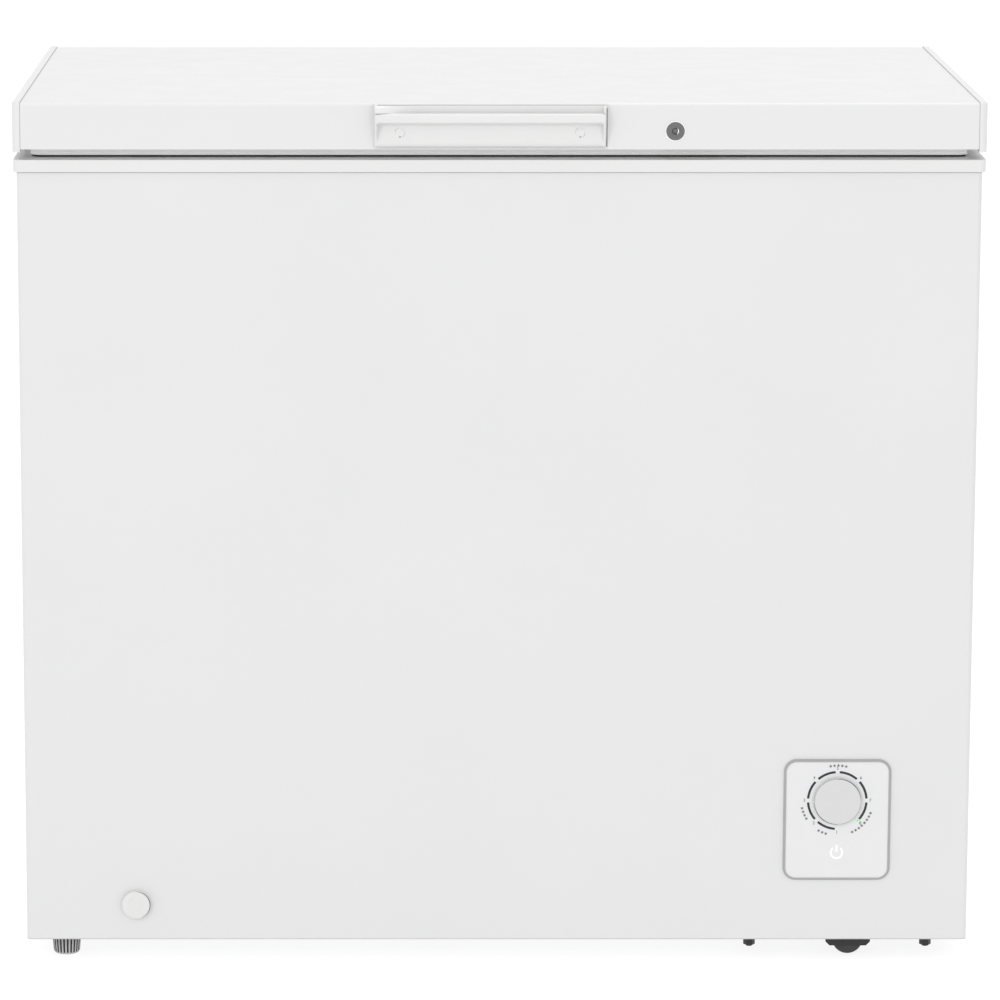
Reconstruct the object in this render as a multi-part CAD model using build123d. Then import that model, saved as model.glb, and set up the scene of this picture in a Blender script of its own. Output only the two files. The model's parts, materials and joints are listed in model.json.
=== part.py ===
from build123d import *
import math
import os

# A chest freezer: a foamed steel cabinet on two levelling feet and two rollers, with a
# spring-hinged lid, a compressor bay at the right-hand end and a hanging basket.
# Millimetres. X runs along the front, +Y to the back, +Z up. The origin is on the floor,
# under the middle of the overall box.

# ---- driving sizes -------------------------------------------------------------------
LENGTH = 932.0  # the lid, from end cap to end cap
HEIGHT = 850.0  # floor to the top of the lid's end caps
LID_DEPTH = 530.0  # the lid, front skirt to back skirt
HANDLE_OUT = 15.0  # the handle stands this far in front of the lid
HINGE_OUT = 20.0  # the hinge covers stand this far behind the lid
GROUND_GAP = 22.0  # floor to the cabinet's underside
SHEET = 1.0  # painted steel sheet
WALL = 58.0  # cabinet wall: outer sheet to the liner's inner face
CUT = 5.0  # shapes that are cut away overshoot by this

# ---- lid -----------------------------------------------------------------------------
SKIRT_H = 45.2  # end-cap top to the skirt's lower edge
CAP_W = 7.5  # end cap, seen from the front
CAP_PROUD = 1.0  # the end caps stand this far above the lid's top sheet
CAP_DROP = 2.9  # and this far below its skirt
CAP_TONGUE = 12.0  # how far a cap's tongue reaches inside the lid
CAP_TONGUE_T = 2.0
LID_BEND_R = 3.0
CAP_CORNER_R = 6.0
LID_HEM = 8.0  # the skirt's inward fold
LID_LINER_T = 2.0
PLUG_DEPTH = 11.0  # the lid liner's raised panel hangs this far below its flange
PLUG_GAP = 10.0  # clear space between that panel and the cavity's walls
PLUG_R = 24.0
GASKET_IN = 24.0  # gasket, behind the skirt's face
GASKET_W = 14.0
GASKET_BASE_T = 3.0
GASKET_BULB_IN = 2.0  # the bulb is narrower than the base by this much each side
GASKET_R = 12.0

# ---- rim -----------------------------------------------------------------------------
LID_GAP = 10.3  # rim top to the skirt's lower edge
RIM_H = 11.7
RIM_T = 2.5
RIM_INSET = 0.5  # rim, behind the lid's edge on all sides
RIM_LEG_IN = 1.0  # how far its outer leg sits over the outer sheet
RIM_LEDGE_W = 10.0  # ledge that carries the basket
RIM_LEDGE_Z = 3.2  # ledge height above the cabinet's top edge
RIM_LIP_DROP = 12.0  # inner lip, below the cabinet's top edge
RIM_CORNER_R = 6.0

# ---- cabinet -------------------------------------------------------------------------
CABINET_INSET = 3.5  # outer sheet, behind the lid's edge on all sides
CORNER_R = 5.0
HEM = 12.0  # the outer sheet's inward fold under the cabinet
LINER_T = 1.5
LINER_FLANGE = 34.0
LINER_CORNER_R = 30.0
LINER_FLOOR_R = 12.0
BAY_LENGTH = 225.5  # compressor bay, along X, inside the outer sheet
BAY_TOP = 262.0
BAY_SHEET = 1.0

# ---- tray, rollers, feet -------------------------------------------------------------
TRAY_T = 2.0
TRAY_RISE = 10.0
TRAY_EDGE = 8.0
TRAY_GAP = 0.5
ROLLER_D = 30.0
ROLLER_W = 14.0
ROLLER_IN = 118.0  # roller's middle, inside the lid's right end
SUPPORT_IN = 36.0  # feet and rollers, behind and in front of the lid's faces
ROLLER_BORE_GAP = 0.05
AXLE_D = 6.0
BRACKET_W = 44.0
BRACKET_T = 2.0
BRACKET_BOTTOM = 9.0
BRACKET_CHAMFER = 4.0
BRACKET_GAP = 1.0  # beside the roller
AXLE_HEAD_D = 9.0
AXLE_HEAD_T = 1.5
TRAY_BOLTS_IN = (215.0, 40.5)
TRAY_BOLT_D = 6.0
TRAY_NUT_W = 10.0
TRAY_NUT_H = 6.0
TRAY_BOLT_BOTTOM = 6.5
TRAY_BOLT_TIP = 1.5
BOLT_HEAD_H = 4.0
FOOT_X_IN = 40.3  # foot axis, inside the lid's left edge
FOOT_D = 29.0
FOOT_TIP_D = 26.0
FOOT_H = 18.0
FOOT_FLUTES = 24
FOOT_FLUTE_R = 1.1
FOOT_EDGE_R = 2.0
STUD_D = 10.0
STUD_LENGTH = 34.0
STUD_GAP = 0.1
FOOT_TRAVEL = 10.0
INSERT_D = 18.0
INSERT_H = 16.0

# ---- control panel -------------------------------------------------------------------
PANEL_IN = 132.9  # panel's middle, inside the lid's right end
PANEL_Z = 143.6
PANEL_W = 104.8
PANEL_H = 121.6
PANEL_R = 12.5
PANEL_PROUD = 2.5
PANEL_BORDER = 2.4
PANEL_RECESS = 0.8
PANEL_TUCK = 10.0  # depth of the skirt behind the outer sheet
PANEL_TUCK_IN = 6.0
PANEL_TUCK_T = 2.0
PANEL_CHAMFER = 1.2
LABEL_T = 0.4
KNOB_UP = 19.7  # knob, above the panel's middle
KNOB_D = 46.3
KNOB_H = 5.0
KNOB_EDGE_R = 1.2
KNOB_FOOT_H = 1.2  # the knob's back edge is narrower over this height
KNOB_FOOT_IN = 1.0
KNOB_GAP = 0.4
SHAFT_D = 6.0
SHAFT_GAP = 0.1
SHAFT_HOLE_GAP = 1.0  # around the shaft, in the panel
SHAFT_INSIDE = 26.0  # length behind the outer sheet
THERMOSTAT_W = 48.0
THERMOSTAT_H = 40.0
THERMOSTAT_DEPTH = 32.0
THERMOSTAT_NECK_D = 14.0
THERMOSTAT_NECK_L = 6.0
RING_R = 28.6  # circle of the position lamps
POSITIONS = 8
STEP_DEG = 45.0
FIRST_DEG = 270.0  # position 1, at the bottom; the numbers run clockwise
LAMP_D = 2.2
POWER_DOWN = 33.0  # power light, below the panel's middle
POWER_D = 12.8
POWER_STROKE = 1.5
POWER_GAP_DEG = 34.0

# ---- lock ----------------------------------------------------------------------------
LOCK_IN = 298.2  # lock, inside the lid's right end
LOCK_UP = 17.6  # and above the skirt's lower edge
LOCK_D = 17.7
LOCK_FLANGE_T = 1.4
BEZEL_D = 19.6
BEZEL_T = 0.9
LOCK_BODY_D = 14.0
LOCK_LENGTH = 15.0
LOCK_PLUG_D = 9.8
LOCK_PLUG_GAP = 0.06
KEYWAY_D = 6.6
KEY_PIN_D = 2.6
KEYWAY_DEPTH = 5.0
CAM_T = 2.0
CAM_R_IN = 32.6
CAM_R_OUT = 37.0
CAM_TIP_DEG = -12.0
CAM_TAIL_DEG = 28.0
CAM_ARM_W = 8.0
CAM_ROOM = 2.0  # free space around the swinging cam
LOCK_NUT_W = 18.0
LOCK_NUT_T = 3.0

# ---- handle --------------------------------------------------------------------------
HANDLE_X = -9.2
HANDLE_L = 222.0
HANDLE_UP = 2.6  # handle's lower edge, above the skirt's
HANDLE_PLATE_T = 4.0
HANDLE_HOOD_H = 17.5  # top of the lid to the hood's lower edge
HANDLE_LIP_T = 3.0
HANDLE_CHEEK_T = 3.0
HANDLE_SHOULDER = 11.0  # height over which the hood curves back to the plate
HANDLE_SCREW_X = 86.0
HANDLE_SCREW_UP = 14.0
SCREW_CAP_D = 9.4
SCREW_CAP_T = 1.2
SCREW_WELL = 3.0
SCREW_HEAD_D = 8.0
SCREW_HEAD_T = 1.8
SCREW_D = 4.0
SCREW_LENGTH = 14.0
GRILLE_SCREW_LENGTH = 8.0

# ---- drain ---------------------------------------------------------------------------
DRAIN_IN = 111.3  # drain, inside the lid's left end
DRAIN_Z = 58.0
DRAIN_BEHIND = 32.0  # drain hole in the floor, behind the cavity's front wall
DRAIN_PIPE_D = 18.0
DRAIN_BORE_D = 14.0
DRAIN_BEND_R = 14.0
DIAL_D = 28.0
DIAL_H = 6.0
DIAL_STEM_L = 32.0
DIAL_STEM_GAP = 0.1
DIAL_EDGE_R = 1.2
DIAL_RING_D = 16.0
DIAL_GROOVE = 0.6
PLUG_CAP_D = 30.0
PLUG_CAP_H = 4.0
PLUG_STEM_L = 12.0
PLUG_GRIP_W = 20.0
PLUG_GRIP_H = 8.0
PLUG_GRIP_T = 3.0

# ---- hinges --------------------------------------------------------------------------
HINGE_IN = 166.0  # hinge's middle, inside the lid's ends
HINGE_BACK = 10.0  # pin axis, behind the lid's back skirt
HINGE_DOWN = 4.8  # pin axis, below the skirt's lower edge
PIN_D = 6.0
PIN_GAP = 0.05
KNUCKLE_R = 6.5
EAR_T = 3.0
LEAF_T = 2.0
LEAF_W = 56.0
LEAF_BOTTOM = 82.0  # below the pin
LID_LEAF_W = 38.0
LID_LEAF_H = 36.0
LID_LEAF_UP = 6.0  # leaf's lower edge, above the skirt's lower edge
SPRING_WIRE_D = 2.0
SPRING_R = 4.9
SPRING_PITCH = 2.5
SPRING_TURNS = 9
COVER_W = 64.0
COVER_T = 2.0
COVER_TOP = 9.0  # cover's upper edge, below the pin
COVER_DROP = 6.0  # and its floor, below the cabinet leaf
LEAF_SCREWS_UP = (10.0, 46.0)  # above the cabinet leaf's lower edge
LEAF_SCREWS_OUT = 12.0
LID_SCREWS = ((-9.0, 8.0), (9.0, 8.0), (0.0, -6.0))  # from the lid leaf's middle

# ---- compressor bay ------------------------------------------------------------------
COMPRESSOR_IN = 114.0  # compressor and grille, inside the lid's right end
COMPRESSOR_Y = 70.0
COMPRESSOR_L = 190.0
COMPRESSOR_W = 140.0
COMPRESSOR_H = 150.0
SEAM_H = 70.0
SEAM_T = 3.0
SEAM_OUT = 6.0
SHELL_LOW_R = 18.0
SHELL_TOP_R = 34.0
FOOT_PLATE_W = 30.0  # what the foot plate's ends add to the length
FOOT_PLATE_EDGE = 15.0  # beyond the mounts
FOOT_PLATE_R = 10.0
FOOT_PLATE_T = 3.0
MOUNT_D = 26.0
MOUNT_H = 16.0
MOUNT_RIM = 5.0
MOUNT_WAIST_D = 20.0
MOUNT_DX = 76.0
MOUNT_DY = 58.0
MOUNT_BOLT_D = 6.0
PORT_DX = 40.0  # tube stubs on the compressor's top, left and right of its middle
TUBE_D = 6.0
CAPILLARY_D = 3.0
LINE_BEND_R = 16.0
SUCTION_DOWN = 24.0  # suction line, below the bay's top
DRIER_D = 18.0
DRIER_L = 90.0
DRIER_IN = 22.0  # from the bay's inner wall
DRIER_FORWARD = 60.0  # in front of the cavity's back wall
DRIER_Z = 150.0
DRIER_DROP = 22.0  # the liquid line's bend, below the drier
RELAY_W = 56.0
RELAY_H = 48.0
RELAY_T = 30.0
RELAY_UP = 14.0
DISCHARGE_UP = 26.0  # the discharge line's bend, above the compressor
LIQUID_DOWN = 40.0  # the liquid line's level run, below the bay's top
CAPILLARY_UP = 30.0
GRILLE_W = 190.0
GRILLE_LOW = 55.0
GRILLE_DOWN = 17.0  # grille's upper edge, below the bay's top
GRILLE_T = 3.0
GRILLE_LAP = 8.0
SLOTS = 11
SLOT_H = 6.0
SLOT_MARGIN = 20.0
GLAND_D = 18.0
GLAND_BORE_D = 8.0
GLAND_NECK_D = 14.0
GLAND_OUT = 4.0
GLAND_IN_T = 3.0
GLAND_IN = 61.0
GLAND_Z = 42.0

# ---- cooling tubes in the foam -------------------------------------------------------
COIL_D = 8.0
COIL_OFF = 7.0  # tube axis, outside the liner
COIL_BEND_R = 38.0
COIL_RISER_R = 12.0
COIL_LEVELS = 6
COIL_ABOVE_STEP = 40.0
COIL_BELOW_TOP = 52.8
CONDENSER_D = 5.0
CONDENSER_OFF = 6.0  # tube axis, inside the outer sheet
CONDENSER_BEND_R = 22.0
CONDENSER_PASSES = 6
CONDENSER_ABOVE_BAY = 68.0
CONDENSER_BELOW_TOP = 52.8
CONDENSER_END = 40.0  # from the back panel
CONDENSER_BEHIND = 20.0  # where it enters, behind the compressor's middle
CONDENSER_RETURN = 24.0  # where it comes back, behind its last bend

# ---- basket --------------------------------------------------------------------------
BASKET_L = 210.0
BASKET_DEPTH = 200.0
BASKET_END_GAP = 18.0  # basket's rim, inside the cavity's right end
BASKET_RIM_D = 5.0
BASKET_WIRE_D = 3.0
BASKET_R = 16.0  # wires stand this far from the basket's corners
BASKET_WELD = 0.2  # crossing wires sink into each other by this
BASKET_SIDE_GAP = 14.0  # basket's side, inside the cavity's wall
BASKET_ENDWAYS_WIRES = 11
BASKET_CROSS_WIRES = 6
BASKET_RINGS = 3
HANGER_L = 120.0
LEDGE_GAP = 0.4

# ---- worked-out positions ------------------------------------------------------------
FRONT = HANDLE_OUT - (HANDLE_OUT + LID_DEPTH + HINGE_OUT) / 2
BACK = FRONT + LID_DEPTH
HALF = LENGTH / 2
SKIRT_Z = HEIGHT - SKIRT_H
RIM_TOP = SKIRT_Z - LID_GAP
CABINET_TOP = RIM_TOP - RIM_H
CABINET_X = HALF - CABINET_INSET
CABINET_FRONT = FRONT + CABINET_INSET
CABINET_BACK = BACK - CABINET_INSET
SHELL_X = CABINET_X - SHEET
SHELL_FRONT = CABINET_FRONT + SHEET
SHELL_BACK = CABINET_BACK - SHEET
CAVITY_X = CABINET_X - WALL
CAVITY_FRONT = CABINET_FRONT + WALL
CAVITY_BACK = CABINET_BACK - WALL
BAY_X = SHELL_X - BAY_LENGTH
WELL_X = BAY_X - WALL
PAN_Z = GROUND_GAP + SHEET
FOAM_Z = PAN_Z + SHEET
FLOOR_Z = GROUND_GAP + WALL + 2 * SHEET
STEP_Z = BAY_TOP + WALL
DECK_Z = PAN_Z + TRAY_RISE
DECK_TOP = DECK_Z + TRAY_T
LID_TOP = HEIGHT - CAP_PROUD
SKIN_X = HALF - CAP_W
LID_FLANGE_Z = SKIRT_Z + SHEET
SUPPORT_YS = {"front": FRONT + SUPPORT_IN, "rear": BACK - SUPPORT_IN}
FOOT_X = -HALF + FOOT_X_IN
PIN_Y = BACK + HINGE_BACK
PIN_Z = SKIRT_Z - HINGE_DOWN
PANEL_FACE = CABINET_FRONT - PANEL_PROUD
LABEL_FACE = PANEL_FACE + PANEL_RECESS - LABEL_T
HANDLE_FRONT = FRONT - HANDLE_OUT
HANDLE_TOP = LID_TOP
HANDLE_BOTTOM = SKIRT_Z + HANDLE_UP
HANDLE_LIP_Z = HANDLE_TOP - HANDLE_HOOD_H
HANDLE_SCREW_Z = HANDLE_BOTTOM + HANDLE_SCREW_UP
LOCK_X = HALF - LOCK_IN
LOCK_Z = SKIRT_Z + LOCK_UP
CAM_Y = FRONT + LOCK_LENGTH
HINGE_X = HALF - HINGE_IN
PANEL_X = HALF - PANEL_IN
KNOB_Z = PANEL_Z + KNOB_UP
POWER_Z = PANEL_Z - POWER_DOWN
DRAIN_X = -HALF + DRAIN_IN
DRAIN_Y = CAVITY_FRONT + DRAIN_BEHIND
ROLLER_X = HALF - ROLLER_IN
TRAY_BOLT_XS = [HALF - inset for inset in TRAY_BOLTS_IN]
COMPRESSOR_X = HALF - COMPRESSOR_IN
COMPRESSOR_Z = DECK_TOP + MOUNT_H
COMPRESSOR_TOP = COMPRESSOR_Z + FOOT_PLATE_T + COMPRESSOR_H
SUCTION_Z = BAY_TOP - SUCTION_DOWN
DRIER_X = BAY_X + DRIER_IN
DRIER_Y = CAVITY_BACK - DRIER_FORWARD
CONDENSER_X = SHELL_X - CONDENSER_OFF
CONDENSER_IN_Y = COMPRESSOR_Y + CONDENSER_BEHIND
CONDENSER_BACK = SHELL_BACK - CONDENSER_END
CONDENSER_OUT_Y = CONDENSER_BACK + CONDENSER_RETURN
CONDENSER_LOW = BAY_TOP + CONDENSER_ABOVE_BAY
CONDENSER_HIGH = CABINET_TOP - CONDENSER_BELOW_TOP
COIL_LOW = STEP_Z + COIL_ABOVE_STEP
COIL_HIGH = CABINET_TOP - COIL_BELOW_TOP
GRILLE_X = COMPRESSOR_X
GRILLE_H = BAY_TOP - GRILLE_DOWN - GRILLE_LOW
GRILLE_Z = GRILLE_LOW + GRILLE_H / 2
GLAND_X = HALF - GLAND_IN
BASKET_X = CAVITY_X - BASKET_END_GAP - BASKET_L / 2


# ---- plain shapes --------------------------------------------------------------------
def block(x0, x1, y0, y1, z0, z1):
    return Pos((x0 + x1) / 2, (y0 + y1) / 2, (z0 + z1) / 2) * Box(x1 - x0, y1 - y0, z1 - z0)


def rounded(x0, x1, y0, y1, z0, z1, radius):
    """A block whose four upright edges are rounded."""
    body = block(x0, x1, y0, y1, z0, z1)
    return fillet(body.edges().filter_by(Axis.Z), radius)


def post(x, y, z0, z1, diameter):
    """An upright round bar."""
    return Pos(x, y, (z0 + z1) / 2) * Cylinder(diameter / 2, z1 - z0)


def bar(x, z, y0, y1, diameter):
    """A round bar that runs front to back."""
    return Pos(x, (y0 + y1) / 2, z) * Rot(90, 0, 0) * Cylinder(diameter / 2, y1 - y0)


def cross_bar(y, z, x0, x1, diameter):
    """A round bar that runs along the freezer."""
    return Pos((x0 + x1) / 2, y, z) * Rot(0, 90, 0) * Cylinder(diameter / 2, x1 - x0)


def hexagon(x, y, z0, z1, flats):
    nut = extrude(RegularPolygon(flats / 2, 6, major_radius=False), z1 - z0)
    return Pos(x, y, z0) * nut


def tube(points, bend, diameter, bore=0.0):
    """A round tube or wire along straight runs joined by bends."""
    path = FilletPolyline(*points, radius=bend)
    section = Plane(origin=path @ 0, z_dir=path % 0) * Circle(diameter / 2)
    solid = sweep(section, path=path)
    if bore:
        hole = Plane(origin=path @ 0, z_dir=path % 0) * Circle(bore / 2)
        solid = solid - sweep(hole, path=path)
    return solid


def profile_x(points, x0, x1):
    """An outline in (y, z), extruded along X."""
    face = make_face(Polyline(*[(0, y, z) for y, z in points], close=True))
    return Pos(x0, 0, 0) * extrude(face, x1 - x0, dir=(1, 0, 0))


def together(pieces):
    """Separate solids that share one node."""
    return Compound(children=list(pieces))


def write(name, shape):
    shape.label = name
    export_step(shape, os.path.join("parts", name + ".step"))


# ---- shared outlines -----------------------------------------------------------------
def cavity(grow, top):
    """The storage space, grown outwards: a deep well, and a shallower part over the bay."""
    body = None
    for end, floor in ((WELL_X, FLOOR_Z), (CAVITY_X, STEP_Z)):
        tub = rounded(
            -CAVITY_X - grow,
            end + grow,
            CAVITY_FRONT - grow,
            CAVITY_BACK + grow,
            floor - grow,
            top,
            LINER_CORNER_R + grow,
        )
        tub = fillet(tub.edges().group_by(Axis.Z)[0], LINER_FLOOR_R + grow)
        body = tub if body is None else body + tub
    return body


def bay():
    return block(BAY_X, SHELL_X, SHELL_FRONT, SHELL_BACK, FOAM_Z - CUT, BAY_TOP)


def shell_inside(z0, z1):
    """The space inside the folded outer sheet and the back panel."""
    body = block(-SHELL_X, SHELL_X, SHELL_FRONT, SHELL_BACK, z0, z1)
    return fillet(body.edges().filter_by(Axis.Z).sort_by(Axis.Y)[:2], CORNER_R - SHEET)


def lid_inside():
    """The space inside the lid's sheet, above the lid liner's flange."""
    return block(-SKIN_X, SKIN_X, FRONT + SHEET, BACK - SHEET, LID_FLANGE_Z, LID_TOP - SHEET)


def plug_block(shrink, z0, z1):
    inset = PLUG_GAP + shrink
    edge, front, back = CAVITY_X - inset, CAVITY_FRONT + inset, CAVITY_BACK - inset
    return rounded(-edge, edge, front, back, z0, z1, PLUG_R - shrink)


def panel_block(y0, y1, inset=0.0):
    width, height = PANEL_W - 2 * inset, PANEL_H - 2 * inset
    outline = RectangleRounded(width, height, PANEL_R - inset)
    solid = extrude(Plane.XZ * outline, y1 - y0, dir=(0, 1, 0))
    return Pos(PANEL_X, y0, PANEL_Z) * solid


def drain_path(diameter):
    points = [
        (DRAIN_X, DRAIN_Y, FLOOR_Z),
        (DRAIN_X, DRAIN_Y, DRAIN_Z),
        (DRAIN_X, CABINET_FRONT, DRAIN_Z),
    ]
    return tube(points, DRAIN_BEND_R, diameter)


def cam_sweep():
    """The space in front of the gasket that the lock's cam swings through."""
    reach = CAM_R_OUT + CAM_ROOM
    top = LOCK_Z + CAM_R_OUT * math.sin(math.radians(CAM_TAIL_DEG)) + CAM_ROOM
    top = min(top, LID_TOP - SHEET - CAM_ROOM)
    left, back = LOCK_X - LOCK_NUT_W / 2 - CAM_ROOM, CAM_Y + CAM_T + CAM_ROOM
    return block(left, LOCK_X + reach, FRONT + SHEET, back, SKIRT_Z - 1, top)


# ---- fasteners -----------------------------------------------------------------------
def screw_back(x, z, face, length):
    """A pan-head screw driven forwards into a rear face."""
    return bar(x, z, face, face + SCREW_HEAD_T, SCREW_HEAD_D) + bar(x, z, face - length, face, SCREW_D)


def hinge_xs():
    return (-HINGE_X, HINGE_X)


def cabinet_hinge_screws():
    zs = [PIN_Z - LEAF_BOTTOM + up for up in LEAF_SCREWS_UP]
    places = [(x + side * LEAF_SCREWS_OUT, z) for x in hinge_xs() for side in (-1, 1) for z in zs]
    return [screw_back(x, z, CABINET_BACK + LEAF_T, SCREW_LENGTH) for x, z in places]


def lid_hinge_screws():
    middle = SKIRT_Z + LID_LEAF_UP + LID_LEAF_H / 2
    places = [(x + dx, middle + dz) for x in hinge_xs() for dx, dz in LID_SCREWS]
    return [screw_back(x, z, BACK + LEAF_T, SCREW_LENGTH) for x, z in places]


def grille_screws():
    dx, dz = (GRILLE_W - GRILLE_LAP) / 2, (GRILLE_H - GRILLE_LAP) / 2
    places = [(GRILLE_X + a * dx, GRILLE_Z + b * dz) for a in (-1, 1) for b in (-1, 1)]
    return [screw_back(x, z, CABINET_BACK + GRILLE_T, GRILLE_SCREW_LENGTH) for x, z in places]


def handle_screws():
    face = FRONT - HANDLE_PLATE_T + SCREW_WELL
    screws = []
    for side in (-1, 1):
        x = HANDLE_X + side * HANDLE_SCREW_X
        head = bar(x, HANDLE_SCREW_Z, face - SCREW_HEAD_T, face, SCREW_HEAD_D)
        screws.append(head + bar(x, HANDLE_SCREW_Z, face, face + SCREW_LENGTH, SCREW_D))
    return screws


def handle_screw_caps():
    front = FRONT - HANDLE_PLATE_T
    xs = [HANDLE_X + side * HANDLE_SCREW_X for side in (-1, 1)]
    return [bar(x, HANDLE_SCREW_Z, front, front + SCREW_CAP_T, SCREW_CAP_D) for x in xs]


# ---- cabinet -------------------------------------------------------------------------
def cabinet_wrap():
    """One folded sheet: front and both ends, with a hem under the cabinet."""
    outer = block(-CABINET_X, CABINET_X, CABINET_FRONT, CABINET_BACK, GROUND_GAP, CABINET_TOP)
    outer = fillet(outer.edges().filter_by(Axis.Z).sort_by(Axis.Y)[:2], CORNER_R)
    inner = block(-SHELL_X, SHELL_X, SHELL_FRONT, CABINET_BACK + CUT, PAN_Z, CABINET_TOP + CUT)
    inner = fillet(inner.edges().filter_by(Axis.Z).sort_by(Axis.Y)[:2], CORNER_R - SHEET)
    edge, front = CABINET_X - HEM, CABINET_FRONT + HEM
    underside = block(-edge, edge, front, CABINET_BACK + CUT, GROUND_GAP - CUT, PAN_Z + CUT)
    panel_hole = panel_block(CABINET_FRONT - CUT, SHELL_FRONT + CUT, PANEL_TUCK_IN)
    drain_hole = bar(DRAIN_X, DRAIN_Z, CABINET_FRONT - CUT, SHELL_FRONT + CUT, DRAIN_PIPE_D)
    return outer - inner - underside - panel_hole - drain_hole


def back_panel():
    sheet = block(-SHELL_X, SHELL_X, SHELL_BACK, CABINET_BACK, PAN_Z, CABINET_TOP)
    half_w, half_h = GRILLE_W / 2 - GRILLE_LAP, GRILLE_H / 2 - GRILLE_LAP
    y0, y1 = SHELL_BACK - CUT, CABINET_BACK + CUT
    vent = block(GRILLE_X - half_w, GRILLE_X + half_w, y0, y1, GRILLE_Z - half_h, GRILLE_Z + half_h)
    gland = bar(GLAND_X, GLAND_Z, y0, y1, GLAND_NECK_D)
    sheet = sheet - vent - gland
    for screw in cabinet_hinge_screws() + grille_screws():
        sheet = sheet - screw
    return sheet


def base_pan():
    pan = block(-SHELL_X, BAY_X, SHELL_FRONT, SHELL_BACK, PAN_Z, FOAM_Z)
    pan = pan & shell_inside(PAN_Z, FOAM_Z)
    for y in SUPPORT_YS.values():
        pan = pan - post(FOOT_X, y, PAN_Z - CUT, FOAM_Z + CUT, STUD_D + 2)
    return pan


def cabinet_foam():
    foam = shell_inside(FOAM_Z, CABINET_TOP)
    foam = foam - cavity(LINER_T, CABINET_TOP + 20) - bay()
    foam = foam - drain_path(DRAIN_PIPE_D)
    for y in SUPPORT_YS.values():
        foam = foam - post(FOOT_X, y, FOAM_Z, FOAM_Z + INSERT_H, INSERT_D)
        foam = foam - post(FOOT_X, y, FOAM_Z, FOAM_Z + STUD_LENGTH + 4, STUD_D + 2)
    for screw in cabinet_hinge_screws():
        foam = foam - screw
    return [solid for cell in foam_cells() for solid in (foam & block(*cell)).solids()]


def foam_cells():
    """Upright and level cuts that part the foam into plain blocks: a floor, then the posts and
    wall slabs round the well, the deck over the bay, and the posts and slabs above it."""
    low, high = FLOOR_Z + LINER_FLOOR_R, STEP_Z + LINER_FLOOR_R
    cells = [(-SHELL_X, BAY_X, SHELL_FRONT, SHELL_BACK, FOAM_Z, low)]
    cells.append((BAY_X, SHELL_X, SHELL_FRONT, SHELL_BACK, BAY_TOP, high))
    for z0, z1, end, outer in ((low, high, WELL_X, BAY_X), (high, CABINET_TOP, CAVITY_X, SHELL_X)):
        xs = (-SHELL_X, -CAVITY_X + LINER_CORNER_R, end - LINER_CORNER_R, outer)
        ys = (SHELL_FRONT, CAVITY_FRONT + LINER_CORNER_R, CAVITY_BACK - LINER_CORNER_R, SHELL_BACK)
        for row in range(3):
            for column in range(3):
                if (row, column) != (1, 1):
                    cells.append((xs[row], xs[row + 1], ys[column], ys[column + 1], z0, z1))
    return cells


def inner_liner():
    tub = cavity(LINER_T, CABINET_TOP + LINER_T)
    edge = LINER_FLANGE
    flange = rounded(
        -CAVITY_X - edge,
        CAVITY_X + edge,
        CAVITY_FRONT - edge,
        CAVITY_BACK + edge,
        CABINET_TOP,
        CABINET_TOP + LINER_T,
        LINER_CORNER_R,
    )
    drain = post(DRAIN_X, DRAIN_Y, FLOOR_Z - CUT, FLOOR_Z + CUT, DRAIN_BORE_D)
    return tub + flange - cavity(0, CABINET_TOP + 20) - drain


def rim_trim():
    """Moulded frame over the top of the wall, with a ledge for the basket and a lip inside."""
    edge = HALF - RIM_INSET
    front, back = FRONT + RIM_INSET, BACK - RIM_INSET
    frame = rounded(-edge, edge, front, back, CABINET_TOP, RIM_TOP, RIM_CORNER_R)
    leg = CABINET_X - SHEET * 2 - RIM_LEG_IN
    ledge_x = CAVITY_X + RIM_LEDGE_W
    ledge_front, ledge_back = CAVITY_FRONT - RIM_LEDGE_W, CAVITY_BACK + RIM_LEDGE_W
    hollow = rounded(
        -leg,
        leg,
        SHELL_FRONT + SHEET + RIM_LEG_IN,
        SHELL_BACK - SHEET - RIM_LEG_IN,
        CABINET_TOP - CUT,
        RIM_TOP - RIM_T,
        RIM_CORNER_R,
    )
    corner = LINER_CORNER_R + RIM_LEDGE_W
    wall = rounded(
        -ledge_x - RIM_T,
        ledge_x + RIM_T,
        ledge_front - RIM_T,
        ledge_back + RIM_T,
        CABINET_TOP + LINER_T,
        RIM_TOP,
        corner + RIM_T,
    )
    ledge_z, lip_z = CABINET_TOP + RIM_LEDGE_Z, CABINET_TOP - RIM_LIP_DROP
    above_ledge = rounded(-ledge_x, ledge_x, ledge_front, ledge_back, ledge_z, RIM_TOP + CUT, corner)
    lip_outer = rounded(
        -CAVITY_X, CAVITY_X, CAVITY_FRONT, CAVITY_BACK, lip_z, CABINET_TOP + LINER_T, LINER_CORNER_R
    )
    lip_inner = rounded(
        -CAVITY_X + RIM_T,
        CAVITY_X - RIM_T,
        CAVITY_FRONT + RIM_T,
        CAVITY_BACK - RIM_T,
        lip_z - CUT,
        RIM_TOP + CUT,
        LINER_CORNER_R - RIM_T,
    )
    y0, y1 = CAM_Y - CAM_ROOM, CAM_Y + CAM_T + CAM_ROOM
    slot = block(LOCK_X - 1, LOCK_X + CAM_R_OUT, y0, y1, RIM_TOP - RIM_T - 1, RIM_TOP + 1)
    return (frame - hollow) + wall - above_ledge + lip_outer - lip_inner - slot


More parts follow.
